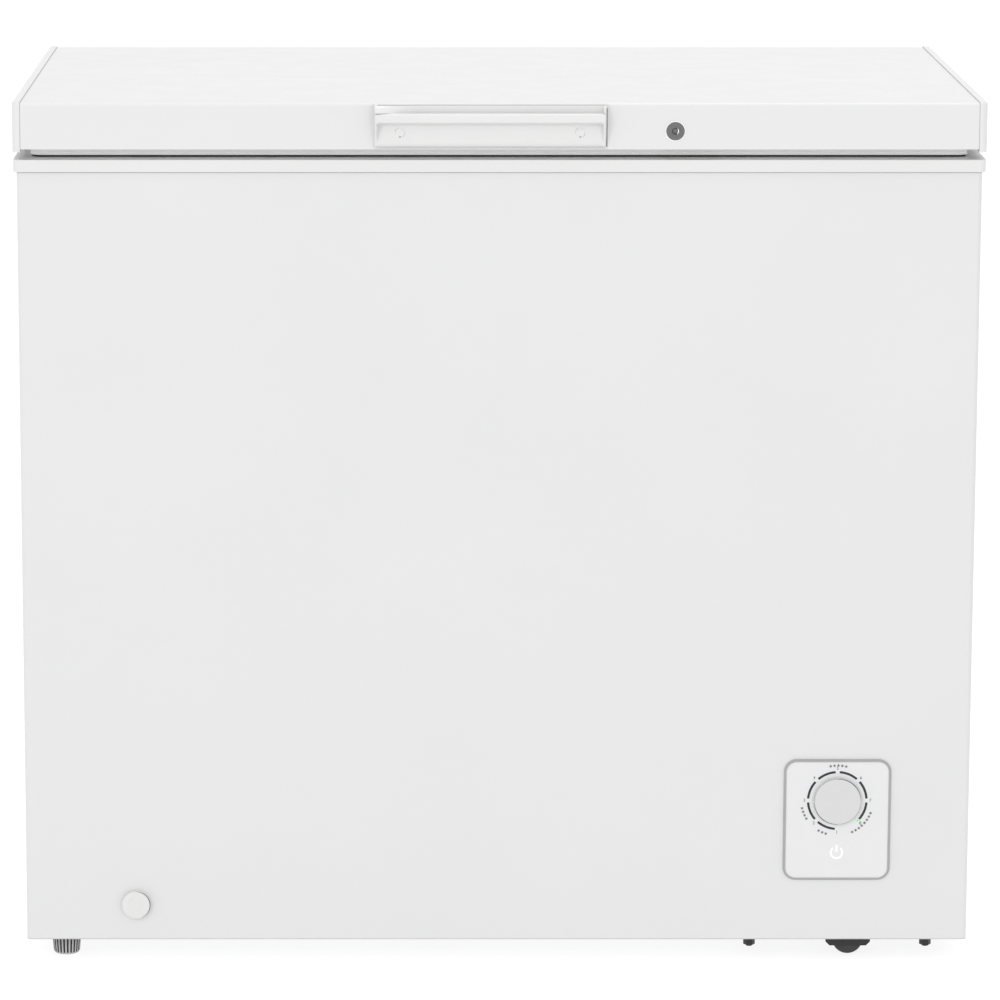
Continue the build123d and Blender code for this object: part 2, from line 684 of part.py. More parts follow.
def bay_panel():
    """The folded sheet between the foam and the compressor bay."""
    upright = block(BAY_X, BAY_X + BAY_SHEET, SHELL_FRONT, SHELL_BACK, FOAM_Z, BAY_TOP)
    roof = block(BAY_X, SHELL_X, SHELL_FRONT, SHELL_BACK, BAY_TOP - BAY_SHEET, BAY_TOP)
    panel = (upright + roof) & shell_inside(PAN_Z, BAY_TOP)
    for line in refrigerant_lines():
        panel = panel - line
    return panel


def compressor_tray():
    x0, x1 = BAY_X + BAY_SHEET + TRAY_GAP, SHELL_X - TRAY_GAP
    y0, y1 = SHELL_FRONT + TRAY_GAP + CORNER_R, SHELL_BACK - TRAY_GAP
    flange = block(x0, x1, y0, y1, PAN_Z, PAN_Z + TRAY_T)
    inset = TRAY_EDGE
    deck = block(x0 + inset, x1 - inset, y0 + inset, y1 - inset, PAN_Z, DECK_TOP)
    inset = TRAY_EDGE + TRAY_T
    under = block(x0 + inset, x1 - inset, y0 + inset, y1 - inset, PAN_Z - CUT, DECK_Z)
    tray = flange + deck - under
    for bolt in tray_bolts() + compressor_bolts():
        tray = tray - bolt
    return tray


def tray_bolts():
    bolts = []
    nut_z = TRAY_BOLT_BOTTOM + TRAY_BOLT_TIP
    for x in TRAY_BOLT_XS:
        for y in SUPPORT_YS.values():
            nut = hexagon(x, y, nut_z, nut_z + TRAY_NUT_H, TRAY_NUT_W)
            shank = post(x, y, TRAY_BOLT_BOTTOM, DECK_TOP, TRAY_BOLT_D)
            head = hexagon(x, y, DECK_TOP, DECK_TOP + BOLT_HEAD_H, TRAY_NUT_W)
            bolts.append(nut + shank + head)
    return bolts


# ---- rollers and feet ----------------------------------------------------------------
def roller_bracket(y):
    left, right = ROLLER_X - BRACKET_W / 2, ROLLER_X + BRACKET_W / 2
    gap = ROLLER_W / 2 + BRACKET_GAP
    outline = Polyline(
        (left, DECK_Z),
        (left, BRACKET_BOTTOM + BRACKET_CHAMFER),
        (left + BRACKET_CHAMFER, BRACKET_BOTTOM),
        (right - BRACKET_CHAMFER, BRACKET_BOTTOM),
        (right, BRACKET_BOTTOM + BRACKET_CHAMFER),
        (right, DECK_Z),
        close=True,
    )
    depth = 2 * (gap + BRACKET_T)
    channel = Pos(0, y - depth / 2, 0) * extrude(Plane.XZ * make_face(outline), depth, dir=(0, 1, 0))
    room = block(left - 1, right + 1, y - gap, y + gap, BRACKET_BOTTOM - 1, DECK_Z - BRACKET_T)
    return channel - room - axle(y)


def axle(y):
    z, reach = ROLLER_D / 2, ROLLER_W / 2 + BRACKET_GAP + BRACKET_T
    shank = bar(ROLLER_X, z, y - reach, y + reach, AXLE_D)
    front = bar(ROLLER_X, z, y - reach - AXLE_HEAD_T, y - reach, AXLE_HEAD_D)
    back = bar(ROLLER_X, z, y + reach, y + reach + AXLE_HEAD_T, AXLE_HEAD_D)
    return shank + front + back


def roller(y):
    wheel = bar(ROLLER_X, ROLLER_D / 2, y - ROLLER_W / 2, y + ROLLER_W / 2, ROLLER_D)
    wheel = chamfer(wheel.edges().filter_by(GeomType.CIRCLE), 1.2)
    return wheel - bar(ROLLER_X, ROLLER_D / 2, y - ROLLER_W, y + ROLLER_W, AXLE_D + 2 * ROLLER_BORE_GAP)


def levelling_foot(y):
    """Fluted pad that tapers towards the floor."""
    pad = Pos(FOOT_X, y, FOOT_H / 2) * Cone(FOOT_TIP_D / 2, FOOT_D / 2, FOOT_H)
    pad = fillet(pad.edges().filter_by(GeomType.CIRCLE).sort_by(Axis.Z)[0], FOOT_EDGE_R)
    reach = (FOOT_D + FOOT_TIP_D) / 4 + FOOT_FLUTE_R / 3
    flute = Pos(reach, 0, FOOT_H / 2 + 1.5 * FOOT_EDGE_R) * Cylinder(FOOT_FLUTE_R, FOOT_H)
    turns = [Rot(0, 0, index * 360 / FOOT_FLUTES) for index in range(FOOT_FLUTES)]
    flutes = [Pos(FOOT_X, y, 0) * turn * flute for turn in turns]
    stud = post(FOOT_X, y, FOOT_H, FOOT_H + STUD_LENGTH, STUD_D - 2 * STUD_GAP)
    return pad - flutes + stud


def foot_insert(y):
    """Threaded insert foamed in above the base pan."""
    body = post(FOOT_X, y, FOAM_Z, FOAM_Z + INSERT_H, INSERT_D)
    return body - post(FOOT_X, y, FOAM_Z - CUT, FOAM_Z + INSERT_H + CUT, STUD_D)


# ---- control panel -------------------------------------------------------------------
def lamp_places():
    for number in range(POSITIONS):
        angle = math.radians(FIRST_DEG - number * STEP_DEG)
        yield PANEL_X + RING_R * math.cos(angle), KNOB_Z + RING_R * math.sin(angle)


def control_panel():
    rim = panel_block(PANEL_FACE, CABINET_FRONT)
    rim = chamfer(rim.faces().sort_by(Axis.Y)[0].edges(), PANEL_CHAMFER)
    face = panel_block(PANEL_FACE - CUT, PANEL_FACE + PANEL_RECESS, PANEL_BORDER)
    tuck = panel_block(CABINET_FRONT, CABINET_FRONT + PANEL_TUCK, PANEL_TUCK_IN)
    hollow = panel_block(CABINET_FRONT, CABINET_FRONT + PANEL_TUCK + CUT, PANEL_TUCK_IN + PANEL_TUCK_T)
    shaft = bar(PANEL_X, KNOB_Z, PANEL_FACE - CUT, CABINET_FRONT + CUT, SHAFT_D + 2 * SHAFT_HOLE_GAP)
    panel = rim - face + (tuck - hollow) - shaft
    for x, z in lamp_places():
        panel = panel - bar(x, z, PANEL_FACE - CUT, CABINET_FRONT + CUT, LAMP_D)
    return panel - power_light(LABEL_FACE, CABINET_FRONT + CUT)


def dial_label():
    """The printed film on the panel's face."""
    film = panel_block(LABEL_FACE, LABEL_FACE + LABEL_T, PANEL_BORDER)
    y0, y1 = LABEL_FACE - CUT, LABEL_FACE + CUT
    film = film - bar(PANEL_X, KNOB_Z, y0, y1, SHAFT_D + 2 * SHAFT_HOLE_GAP)
    for x, z in lamp_places():
        film = film - bar(x, z, y0, y1, LAMP_D)
    return film - power_light(y0, y1)


def position_lamps():
    return [bar(x, z, LABEL_FACE, CABINET_FRONT, LAMP_D) for x, z in lamp_places()]


def power_light(y0, y1):
    """Light pipe in the shape of a broken ring with an upright stroke."""
    ring = bar(PANEL_X, POWER_Z, y0, y1, POWER_D)
    ring = ring - bar(PANEL_X, POWER_Z, y0, y1, POWER_D - 2 * POWER_STROKE)
    half_gap = POWER_D / 2 * math.sin(math.radians(POWER_GAP_DEG))
    gap = block(PANEL_X - half_gap, PANEL_X + half_gap, y0 - 1, y1 + 1, POWER_Z, POWER_Z + POWER_D)
    half = POWER_STROKE / 2
    top = POWER_Z + POWER_D / 2 + POWER_STROKE
    stroke = block(PANEL_X - half, PANEL_X + half, y0, y1, POWER_Z + POWER_STROKE / 2, top)
    return (ring - gap) + stroke


def thermostat():
    """Thermostat body behind the panel, with its shaft sleeve."""
    y0 = CABINET_FRONT
    y1 = y0 + THERMOSTAT_NECK_L
    y2 = y1 + THERMOSTAT_DEPTH
    half_w, half_h = THERMOSTAT_W / 2, THERMOSTAT_H / 2
    body = block(PANEL_X - half_w, PANEL_X + half_w, y1, y2, KNOB_Z - half_h, KNOB_Z + half_h)
    neck = bar(PANEL_X, KNOB_Z, y0, y1, THERMOSTAT_NECK_D)
    return body + neck - bar(PANEL_X, KNOB_Z, y0 - 1, y0 + SHAFT_INSIDE + 2, SHAFT_D + 2 * SHAFT_GAP)


def thermostat_knob():
    back = LABEL_FACE - KNOB_GAP
    cap = bar(PANEL_X, KNOB_Z, back - KNOB_H, back, KNOB_D)
    cap = fillet(cap.edges().filter_by(GeomType.CIRCLE).sort_by(Axis.Y)[0], KNOB_EDGE_R)
    groove = bar(PANEL_X, KNOB_Z, back - KNOB_FOOT_H, back, KNOB_D)
    groove = groove - bar(PANEL_X, KNOB_Z, back - KNOB_FOOT_H, back, KNOB_D - 2 * KNOB_FOOT_IN)
    return cap - groove


def thermostat_shaft():
    back = LABEL_FACE - KNOB_GAP
    return bar(PANEL_X, KNOB_Z, back, CABINET_FRONT + SHAFT_INSIDE, SHAFT_D)


# ---- drain ---------------------------------------------------------------------------
def drain_tube():
    pipe = drain_path(DRAIN_PIPE_D) - drain_path(DRAIN_BORE_D)
    above = post(DRAIN_X, DRAIN_Y, FLOOR_Z - LINER_T, FLOOR_Z + CUT, 2 * DRAIN_PIPE_D)
    return pipe - above


def drain_dial():
    """Front cap with a stem that seals the drain tube."""
    back = CABINET_FRONT
    front = back - DIAL_H
    cap = bar(DRAIN_X, DRAIN_Z, front, back, DIAL_D)
    cap = fillet(cap.edges().filter_by(GeomType.CIRCLE).sort_by(Axis.Y)[0], DIAL_EDGE_R)
    groove = bar(DRAIN_X, DRAIN_Z, front - 1, front + DIAL_GROOVE, DIAL_RING_D)
    groove = groove - bar(DRAIN_X, DRAIN_Z, front - 2, front + 2, DIAL_RING_D - 2 * DIAL_GROOVE)
    stem = bar(DRAIN_X, DRAIN_Z, back, back + DIAL_STEM_L, DRAIN_BORE_D - 2 * DIAL_STEM_GAP)
    return cap - groove + stem


def drain_plug():
    """Stopper in the floor of the well."""
    cap = post(DRAIN_X, DRAIN_Y, FLOOR_Z, FLOOR_Z + PLUG_CAP_H, PLUG_CAP_D)
    cap = chamfer(cap.edges().filter_by(GeomType.CIRCLE).sort_by(Axis.Z)[-1], 1.0)
    half_t, half_w, top = PLUG_GRIP_T / 2, PLUG_GRIP_W / 2, FLOOR_Z + PLUG_CAP_H
    grip = block(
        DRAIN_X - half_t, DRAIN_X + half_t, DRAIN_Y - half_w, DRAIN_Y + half_w, top, top + PLUG_GRIP_H
    )
    stem = post(DRAIN_X, DRAIN_Y, FLOOR_Z - PLUG_STEM_L / 2, FLOOR_Z, DRAIN_BORE_D - 2 * DIAL_STEM_GAP)
    return cap + grip + stem


# ---- hinges --------------------------------------------------------------------------
def hinge_cabinet_leaf(x):
    face, clear, z0 = CABINET_BACK + LEAF_T, BACK + 0.5, PIN_Z - LEAF_BOTTOM
    leaf = block(x - LEAF_W / 2, x + LEAF_W / 2, CABINET_BACK, face, z0, CABINET_TOP)
    outline = [
        (face, z0 + 20),
        (PIN_Y + KNUCKLE_R, PIN_Z - 30),
        (PIN_Y + KNUCKLE_R, PIN_Z),
        (PIN_Y, PIN_Z + KNUCKLE_R),
        (clear, PIN_Z + KNUCKLE_R * 0.6),
        (clear, CABINET_TOP - 1.5),
        (face, CABINET_TOP - 1.5),
    ]
    for side in (-1, 1):
        start = x + side * (LEAF_W / 2 - EAR_T / 2) - EAR_T / 2
        leaf = leaf + profile_x(outline, start, start + EAR_T)
    leaf = leaf - cross_bar(PIN_Y, PIN_Z, x - LEAF_W, x + LEAF_W, PIN_D)
    for screw in cabinet_hinge_screws():
        leaf = leaf - screw
    return leaf


def hinge_lid_leaf(x):
    z0 = SKIRT_Z + LID_LEAF_UP
    leaf = block(x - LID_LEAF_W / 2, x + LID_LEAF_W / 2, BACK, BACK + LEAF_T, z0, z0 + LID_LEAF_H)
    outline = [
        (BACK + LEAF_T, z0 + 14),
        (BACK + LEAF_T, z0),
        (PIN_Y - KNUCKLE_R * 0.8, PIN_Z - KNUCKLE_R * 0.6),
        (PIN_Y, PIN_Z - KNUCKLE_R),
        (PIN_Y + KNUCKLE_R * 0.7, PIN_Z - KNUCKLE_R * 0.7),
        (PIN_Y + KNUCKLE_R, PIN_Z),
        (PIN_Y + KNUCKLE_R * 0.7, PIN_Z + KNUCKLE_R * 0.7),
    ]
    for side in (-1, 1):
        start = x + side * (LID_LEAF_W / 2 - EAR_T / 2) - EAR_T / 2
        leaf = leaf + profile_x(outline, start, start + EAR_T)
    leaf = leaf - cross_bar(PIN_Y, PIN_Z, x - LEAF_W, x + LEAF_W, PIN_D + 2 * PIN_GAP)
    for screw in lid_hinge_screws():
        leaf = leaf - screw
    return leaf


def hinge_pin(x):
    reach = LEAF_W / 2 + 1
    shank = cross_bar(PIN_Y, PIN_Z, x - reach, x + reach, PIN_D)
    return shank + cross_bar(PIN_Y, PIN_Z, x + reach, x + reach + 2, PIN_D + 3)


def hinge_spring(x):
    """Coil around the pin, between the lid leaf's ears."""
    height = SPRING_PITCH * SPRING_TURNS
    path = Helix(SPRING_PITCH, height, SPRING_R)
    section = Plane(origin=path @ 0, z_dir=path % 0) * Circle(SPRING_WIRE_D / 2)
    coil = sweep(section, path=path, is_frenet=True)
    return Pos(x - height / 2, PIN_Y, PIN_Z) * Rot(0, 90, 0) * coil


def hinge_cover(x):
    """Moulded cover behind the hinge, open at the top and the front."""
    z0, z1 = PIN_Z - LEAF_BOTTOM - COVER_DROP, PIN_Z - COVER_TOP
    outer = block(x - COVER_W / 2, x + COVER_W / 2, CABINET_BACK, BACK + HINGE_OUT, z0, z1)
    outer = fillet(outer.edges().filter_by(Axis.Z).sort_by(Axis.Y)[2:], 3.0)
    half = COVER_W / 2 - COVER_T
    inner = block(x - half, x + half, CABINET_BACK - 1, BACK + HINGE_OUT - COVER_T, z0 + COVER_T, z1 + 1)
    behind_rim = block(x - COVER_W, x + COVER_W, CABINET_BACK - 1, BACK + 0.3, CABINET_TOP - 0.3, z1 + 1)
    return outer - inner - behind_rim


# ---- compressor bay ------------------------------------------------------------------
def compressor():
    """Welded two-part shell with its foot plate and tube stubs."""
    base = COMPRESSOR_Z + FOOT_PLATE_T
    length = COMPRESSOR_L - FOOT_PLATE_W
    lower = extrude(SlotOverall(length, COMPRESSOR_W), SEAM_H)
    lower = fillet(lower.edges().group_by(Axis.Z)[0], SHELL_LOW_R)
    upper = extrude(SlotOverall(length - 4, COMPRESSOR_W - 4), COMPRESSOR_H - SEAM_H)
    upper = Pos(0, 0, SEAM_H) * fillet(upper.edges().group_by(Axis.Z)[-1], SHELL_TOP_R)
    seam = extrude(SlotOverall(length + SEAM_OUT, COMPRESSOR_W + SEAM_OUT), SEAM_T)
    seam = Pos(0, 0, SEAM_H - SEAM_T) * seam
    shell = Pos(COMPRESSOR_X, COMPRESSOR_Y, base) * (lower + upper + seam)
    plate = rounded(
        COMPRESSOR_X - MOUNT_DX - FOOT_PLATE_EDGE,
        COMPRESSOR_X + MOUNT_DX + FOOT_PLATE_EDGE,
        COMPRESSOR_Y - MOUNT_DY - FOOT_PLATE_EDGE,
        COMPRESSOR_Y + MOUNT_DY + FOOT_PLATE_EDGE,
        COMPRESSOR_Z,
        base,
        FOOT_PLATE_R,
    )
    for bolt in compressor_bolts():
        plate = plate - bolt
    return shell + plate


def mount_places():
    return [(COMPRESSOR_X + a * MOUNT_DX, COMPRESSOR_Y + b * MOUNT_DY) for a in (-1, 1) for b in (-1, 1)]


def compressor_bolts():
    top = COMPRESSOR_Z + FOOT_PLATE_T
    return [
        post(x, y, DECK_Z - 3, top, MOUNT_BOLT_D) + hexagon(x, y, top, top + BOLT_HEAD_H, MOUNT_BOLT_D + 4)
        for x, y in mount_places()
    ]


def compressor_mounts():
    mounts = []
    for x, y in mount_places():
        mount = post(x, y, DECK_TOP, COMPRESSOR_Z, MOUNT_D)
        hole = post(x, y, DECK_TOP - 1, COMPRESSOR_Z + 1, MOUNT_BOLT_D)
        z0, z1 = DECK_TOP + MOUNT_RIM, COMPRESSOR_Z - MOUNT_RIM
        waist = post(x, y, z0, z1, MOUNT_D + 2) - post(x, y, z0, z1, MOUNT_WAIST_D)
        mounts.append(mount - hole - waist)
    return mounts


def relay_cover():
    """Cover over the compressor's terminals and starting relay."""
    front, half = COMPRESSOR_Y - COMPRESSOR_W / 2, RELAY_W / 2
    z0 = COMPRESSOR_Z + RELAY_UP
    return rounded(COMPRESSOR_X - half, COMPRESSOR_X + half, front - RELAY_T, front, z0, z0 + RELAY_H, 4)


def filter_drier():
    body = post(DRIER_X, DRIER_Y, DRIER_Z - DRIER_L / 2, DRIER_Z + DRIER_L / 2, DRIER_D)
    return fillet(body.edges().filter_by(GeomType.CIRCLE), DRIER_D / 4)


def discharge_line():
    """From the compressor's top to the condenser, through the bay's roof."""
    x, y = COMPRESSOR_X + PORT_DX, CONDENSER_IN_Y
    points = [
        (x, y, COMPRESSOR_TOP),
        (x, y, COMPRESSOR_TOP + DISCHARGE_UP),
        (CONDENSER_X, y, COMPRESSOR_TOP + DISCHARGE_UP),
        (CONDENSER_X, y, BAY_TOP),
    ]
    return tube(points, LINE_BEND_R / 2, TUBE_D)


def suction_line():
    """From the evaporator, through the bay's inner wall, to the compressor."""
    x, y = COMPRESSOR_X - PORT_DX, COMPRESSOR_Y
    points = [(x, y, COMPRESSOR_TOP), (x, y, SUCTION_Z), (BAY_X, y, SUCTION_Z)]
    return tube(points, LINE_BEND_R, COIL_D)


def liquid_line():
    """From the condenser, along the back of the bay and up into the drier."""
    high, low = BAY_TOP - LIQUID_DOWN, DRIER_Z - DRIER_L / 2 - DRIER_DROP
    points = [
        (CONDENSER_X, CONDENSER_OUT_Y, BAY_TOP),
        (CONDENSER_X, CONDENSER_OUT_Y, high),
        (DRIER_X, CONDENSER_OUT_Y, high),
        (DRIER_X, CONDENSER_OUT_Y, low),
        (DRIER_X, DRIER_Y, low),
        (DRIER_X, DRIER_Y, DRIER_Z - DRIER_L / 2),
    ]
    return tube(points, LINE_BEND_R, CONDENSER_D)


def capillary_line():
    """Thin tube from the drier into the foam."""
    low = DRIER_Z + DRIER_L / 2
    high = low + CAPILLARY_UP
    points = [(DRIER_X, DRIER_Y, low), (DRIER_X, DRIER_Y, high), (BAY_X, DRIER_Y, high)]
    return tube(points, LINE_BEND_R / 2, CAPILLARY_D)


def refrigerant_lines():
    return [discharge_line(), suction_line(), liquid_line(), capillary_line()]


def vent_grille():
    y0, y1 = CABINET_BACK, CABINET_BACK + GRILLE_T
    half_w, half_h = GRILLE_W / 2, GRILLE_H / 2
    plate = block(GRILLE_X - half_w, GRILLE_X + half_w, y0, y1, GRILLE_Z - half_h, GRILLE_Z + half_h)
    plate = fillet(plate.edges().filter_by(Axis.Y), 6)
    pitch = (GRILLE_H - 2 * SLOT_MARGIN) / (SLOTS - 1)
    reach = half_w - SLOT_MARGIN
    for index in range(SLOTS):
        z = GRILLE_Z - half_h + SLOT_MARGIN + index * pitch - SLOT_H / 2
        plate = plate - block(GRILLE_X - reach, GRILLE_X + reach, y0 - 1, y1 + 1, z, z + SLOT_H)
    for screw in grille_screws():
        plate = plate - screw
    return plate


def cord_gland():
    y = CABINET_BACK
    outside = bar(GLAND_X, GLAND_Z, y, y + GLAND_OUT, GLAND_D)
    neck = bar(GLAND_X, GLAND_Z, y - SHEET, y, GLAND_NECK_D)
    inside = bar(GLAND_X, GLAND_Z, y - SHEET - GLAND_IN_T, y - SHEET, GLAND_D)
    return outside + neck + inside - bar(GLAND_X, GLAND_Z, y - 2 * CUT, y + 2 * CUT, GLAND_BORE_D)


# ---- cooling tubes -------------------------------------------------------------------
def evaporator_coil():
    """Tube from the bay's wall, then wound round the liner, rising along the back."""
    off = LINER_T + COIL_OFF
    x0, x1 = -CAVITY_X - off, CAVITY_X + off
    y0, y1 = CAVITY_FRONT - off, CAVITY_BACK + off
    rise = (COIL_HIGH - COIL_LOW) / (COIL_LEVELS - 1)
    riser_x = (WELL_X + BAY_X) / 2
    under_step = (BAY_TOP + STEP_Z) / 2
    points = [
        (BAY_X, COMPRESSOR_Y, SUCTION_Z),
        (riser_x, COMPRESSOR_Y, SUCTION_Z),
        (riser_x, COMPRESSOR_Y, under_step),
        (riser_x, y1, under_step),
        (riser_x, y1, COIL_LOW),
    ]
    for level in range(COIL_LEVELS - 1):
        z = COIL_LOW + level * rise
        points += [(x0, y1, z), (x0, y0, z), (x1, y0, z), (x1, y1, z + rise)]
    points.append((0, y1, COIL_HIGH))
    bends = [COIL_RISER_R] * 4 + [COIL_BEND_R] * (len(points) - 6)
    return tube(points, bends, COIL_D)


def condenser_coil():
    """Tube run back and forth behind the outer sheet, round the front and both ends."""
    x = CONDENSER_X
    y0, y1 = SHELL_FRONT + CONDENSER_OFF, CONDENSER_BACK
    rise = (CONDENSER_HIGH - CONDENSER_LOW) / (CONDENSER_PASSES - 1)
    points = [(x, CONDENSER_IN_Y, BAY_TOP)]
    for level in range(CONDENSER_PASSES):
        z = CONDENSER_LOW + level * rise
        start = CONDENSER_IN_Y if level == 0 else y1
        run = [(x, start, z), (x, y0, z), (-x, y0, z), (-x, y1, z)]
        points += run if level % 2 == 0 else run[::-1]
    points[-1] = (x, CONDENSER_OUT_Y, CONDENSER_HIGH)
    points.append((x, CONDENSER_OUT_Y, BAY_TOP))
    return tube(points, CONDENSER_BEND_R, CONDENSER_D)


# ---- lid -----------------------------------------------------------------------------
def lid_skin():
    """Top sheet folded down into a front and a back skirt, each with a hem."""
    outer = block(-SKIN_X, SKIN_X, FRONT, BACK, SKIRT_Z, LID_TOP)
    outer = fillet(outer.edges().filter_by(Axis.X).group_by(Axis.Z)[-1], LID_BEND_R)
    inner = block(-SKIN_X - 1, SKIN_X + 1, FRONT + SHEET, BACK - SHEET, SKIRT_Z + SHEET, LID_TOP - SHEET)
    inner = fillet(inner.edges().filter_by(Axis.X).group_by(Axis.Z)[-1], LID_BEND_R - SHEET)
    under = block(-SKIN_X - 1, SKIN_X + 1, FRONT + LID_HEM, BACK - LID_HEM, SKIRT_Z - 1, SKIRT_Z + CUT)
    skin = outer - inner - under - cam_sweep_slot()
    for piece in handle_screws() + lid_hinge_screws():
        skin = skin - piece
    return skin - bar(LOCK_X, LOCK_Z, FRONT - CUT, FRONT + CUT, LOCK_BODY_D)


def cam_sweep_slot():
    """The notch in the hem and in the lid liner's flange where the cam swings down."""
    return cam_sweep() & block(
        -HALF, HALF, FRONT + 2 * SHEET, BACK, SKIRT_Z - 1, LID_FLANGE_Z + LID_LINER_T + 1
    )


def lid_core():
    """What fills the lid's sheet down to the hem, with the bends followed."""
    body = lid_inside()
    return fillet(body.edges().filter_by(Axis.X).group_by(Axis.Z)[-1], LID_BEND_R - SHEET)


def cap_tongue(side):
    """The frame of a cap that plugs into the end of the folded sheet."""
    x0, x1 = sorted((side * SKIN_X, side * (SKIN_X - CAP_TONGUE)))
    z0 = LID_FLANGE_Z + LID_LINER_T
    outer = lid_core() & block(x0, x1, FRONT, BACK, z0, LID_TOP)
    inner = block(
        x0 - 1,
        x1 + 1,
        FRONT + SHEET + CAP_TONGUE_T,
        BACK - SHEET - CAP_TONGUE_T,
        z0 + CAP_TONGUE_T,
        LID_TOP - SHEET - CAP_TONGUE_T,
    )
    return outer - inner


def lid_end_cap(side):
    x0, x1 = sorted((side * SKIN_X, side * HALF))
    body = block(x0, x1, FRONT, BACK, SKIRT_Z - CAP_DROP, HEIGHT)
    outside = body.edges().filter_by(Axis.Z).group_by(Axis.X)[0 if side < 0 else -1]
    body = fillet(outside, CAP_CORNER_R)
    top = body.faces().sort_by(Axis.Z)[-1].edges()
    at_skin = top.filter_by(Axis.Y).sort_by(Axis.X)[-1 if side < 0 else 0]
    body = fillet([edge for edge in top if edge != at_skin], 2.0)
    return body + cap_tongue(side)


def lid_liner():
    """Vacuum-formed sheet: a flat flange, and a panel that hangs into the cavity's mouth."""
    inset = SHEET + 0.2
    flange = block(
        -SKIN_X + 0.2, SKIN_X - 0.2, FRONT + inset, BACK - inset, LID_FLANGE_Z, LID_FLANGE_Z + LID_LINER_T
    )
    plug = plug_block(0, LID_FLANGE_Z - PLUG_DEPTH, LID_FLANGE_Z + LID_LINER_T)
    plug = fillet(plug.edges().group_by(Axis.Z)[0], 4)
    hollow = plug_block(LID_LINER_T, LID_FLANGE_Z - PLUG_DEPTH + LID_LINER_T, LID_FLANGE_Z + 10)
    return flange + plug - hollow - cam_sweep_slot()


def lid_foam():
    core = lid_core() & block(-HALF, HALF, FRONT, BACK, LID_FLANGE_Z + LID_LINER_T, LID_TOP)
    hollow = plug_block(LID_LINER_T, LID_FLANGE_Z - PLUG_DEPTH + LID_LINER_T, LID_FLANGE_Z + LID_LINER_T)
    foam = core + hollow - cap_tongue(-1) - cap_tongue(1) - cam_sweep()
    for piece in handle_screws() + lid_hinge_screws():
        foam = foam - piece
    return foam


def lid_gasket():
    """Push-in seal that lands on the rim."""
    def loop(inset, width, z0, z1):
        front, back = FRONT + GASKET_IN + inset, BACK - GASKET_IN - inset
        edge = HALF - (GASKET_IN - 10) - inset
        outer = rounded(-edge, edge, front, back, z0, z1, GASKET_R)
        inner = rounded(
            -edge + width, edge - width, front + width, back - width, z0 - 1, z1 + 1, GASKET_R - width / 2
        )
        return outer - inner

    base = loop(0, GASKET_W, LID_FLANGE_Z - GASKET_BASE_T, LID_FLANGE_Z)
    bulb = loop(GASKET_BULB_IN, GASKET_W - 2 * GASKET_BULB_IN, RIM_TOP, LID_FLANGE_Z - GASKET_BASE_T)
    return base + bulb


# ---- handle --------------------------------------------------------------------------
def handle_hood():
    """(y, z) outline of the handle: a plate, and a hood that curls forwards and down."""
    plate = FRONT - HANDLE_PLATE_T
    lip = HANDLE_FRONT + HANDLE_LIP_T
    shoulder = HANDLE_TOP - HANDLE_SHOULDER
    outer_mid = (0, FRONT - HANDLE_OUT * 0.78, HANDLE_TOP - HANDLE_SHOULDER * 0.30)
    inner_top = HANDLE_TOP - HANDLE_LIP_T - 1.5
    inner_mid = (0, (lip * 2 + plate) / 3 + 0.4, inner_top - 1.6)
    with BuildLine() as outline:
        Polyline(
            (0, plate, inner_top - 1),
            (0, plate, HANDLE_BOTTOM),
            (0, FRONT, HANDLE_BOTTOM),
            (0, FRONT, HANDLE_TOP),
            (0, plate, HANDLE_TOP),
        )
        ThreePointArc((0, plate, HANDLE_TOP), outer_mid, (0, HANDLE_FRONT, shoulder))
        Polyline(
            (0, HANDLE_FRONT, shoulder),
            (0, HANDLE_FRONT, HANDLE_LIP_Z),
            (0, lip, HANDLE_LIP_Z),
            (0, lip, shoulder - 1),
        )
        ThreePointArc((0, lip, shoulder - 1), inner_mid, (0, plate, inner_top - 1))
    return make_face(outline.line)


def handle_cheek():
    """(y, z) outline of the handle's closed ends."""
    shoulder = HANDLE_TOP - HANDLE_SHOULDER
    outer_mid = (0, FRONT - HANDLE_OUT * 0.78, HANDLE_TOP - HANDLE_SHOULDER * 0.30)
    plate = FRONT - HANDLE_PLATE_T
    with BuildLine() as outline:
        Polyline((0, HANDLE_FRONT, shoulder), (0, HANDLE_FRONT, HANDLE_LIP_Z))
        ThreePointArc(
            (0, HANDLE_FRONT, HANDLE_LIP_Z),
            (0, (HANDLE_FRONT + plate) / 2 + 2, HANDLE_LIP_Z - 7),
            (0, plate, HANDLE_BOTTOM + 2),
        )
        Polyline(
            (0, plate, HANDLE_BOTTOM + 2),
            (0, plate, HANDLE_BOTTOM),
            (0, FRONT, HANDLE_BOTTOM),
            (0, FRONT, HANDLE_TOP),
            (0, plate, HANDLE_TOP),
        )
        ThreePointArc((0, plate, HANDLE_TOP), outer_mid, (0, HANDLE_FRONT, shoulder))
    return make_face(outline.line)


def handle():
    x0, x1 = HANDLE_X - HANDLE_L / 2, HANDLE_X + HANDLE_L / 2
    body = Pos(x0, 0, 0) * extrude(handle_hood(), HANDLE_L, dir=(1, 0, 0))
    for start in (x0, x1 - HANDLE_CHEEK_T):
        body = body + Pos(start, 0, 0) * extrude(handle_cheek(), HANDLE_CHEEK_T, dir=(1, 0, 0))
    for side in (-1, 1):
        x = HANDLE_X + side * HANDLE_SCREW_X
        plate = FRONT - HANDLE_PLATE_T
        body = body - bar(x, HANDLE_SCREW_Z, plate - 0.5, plate + SCREW_WELL, SCREW_CAP_D)
        body = body - bar(x, HANDLE_SCREW_Z, plate, FRONT + 1, SCREW_D)
    return body


# ---- lock ----------------------------------------------------------------------------
def lock_bezel():
    ring = bar(LOCK_X, LOCK_Z, FRONT - BEZEL_T, FRONT, BEZEL_D)
    return ring - bar(LOCK_X, LOCK_Z, FRONT - CUT, FRONT + CUT, LOCK_D)


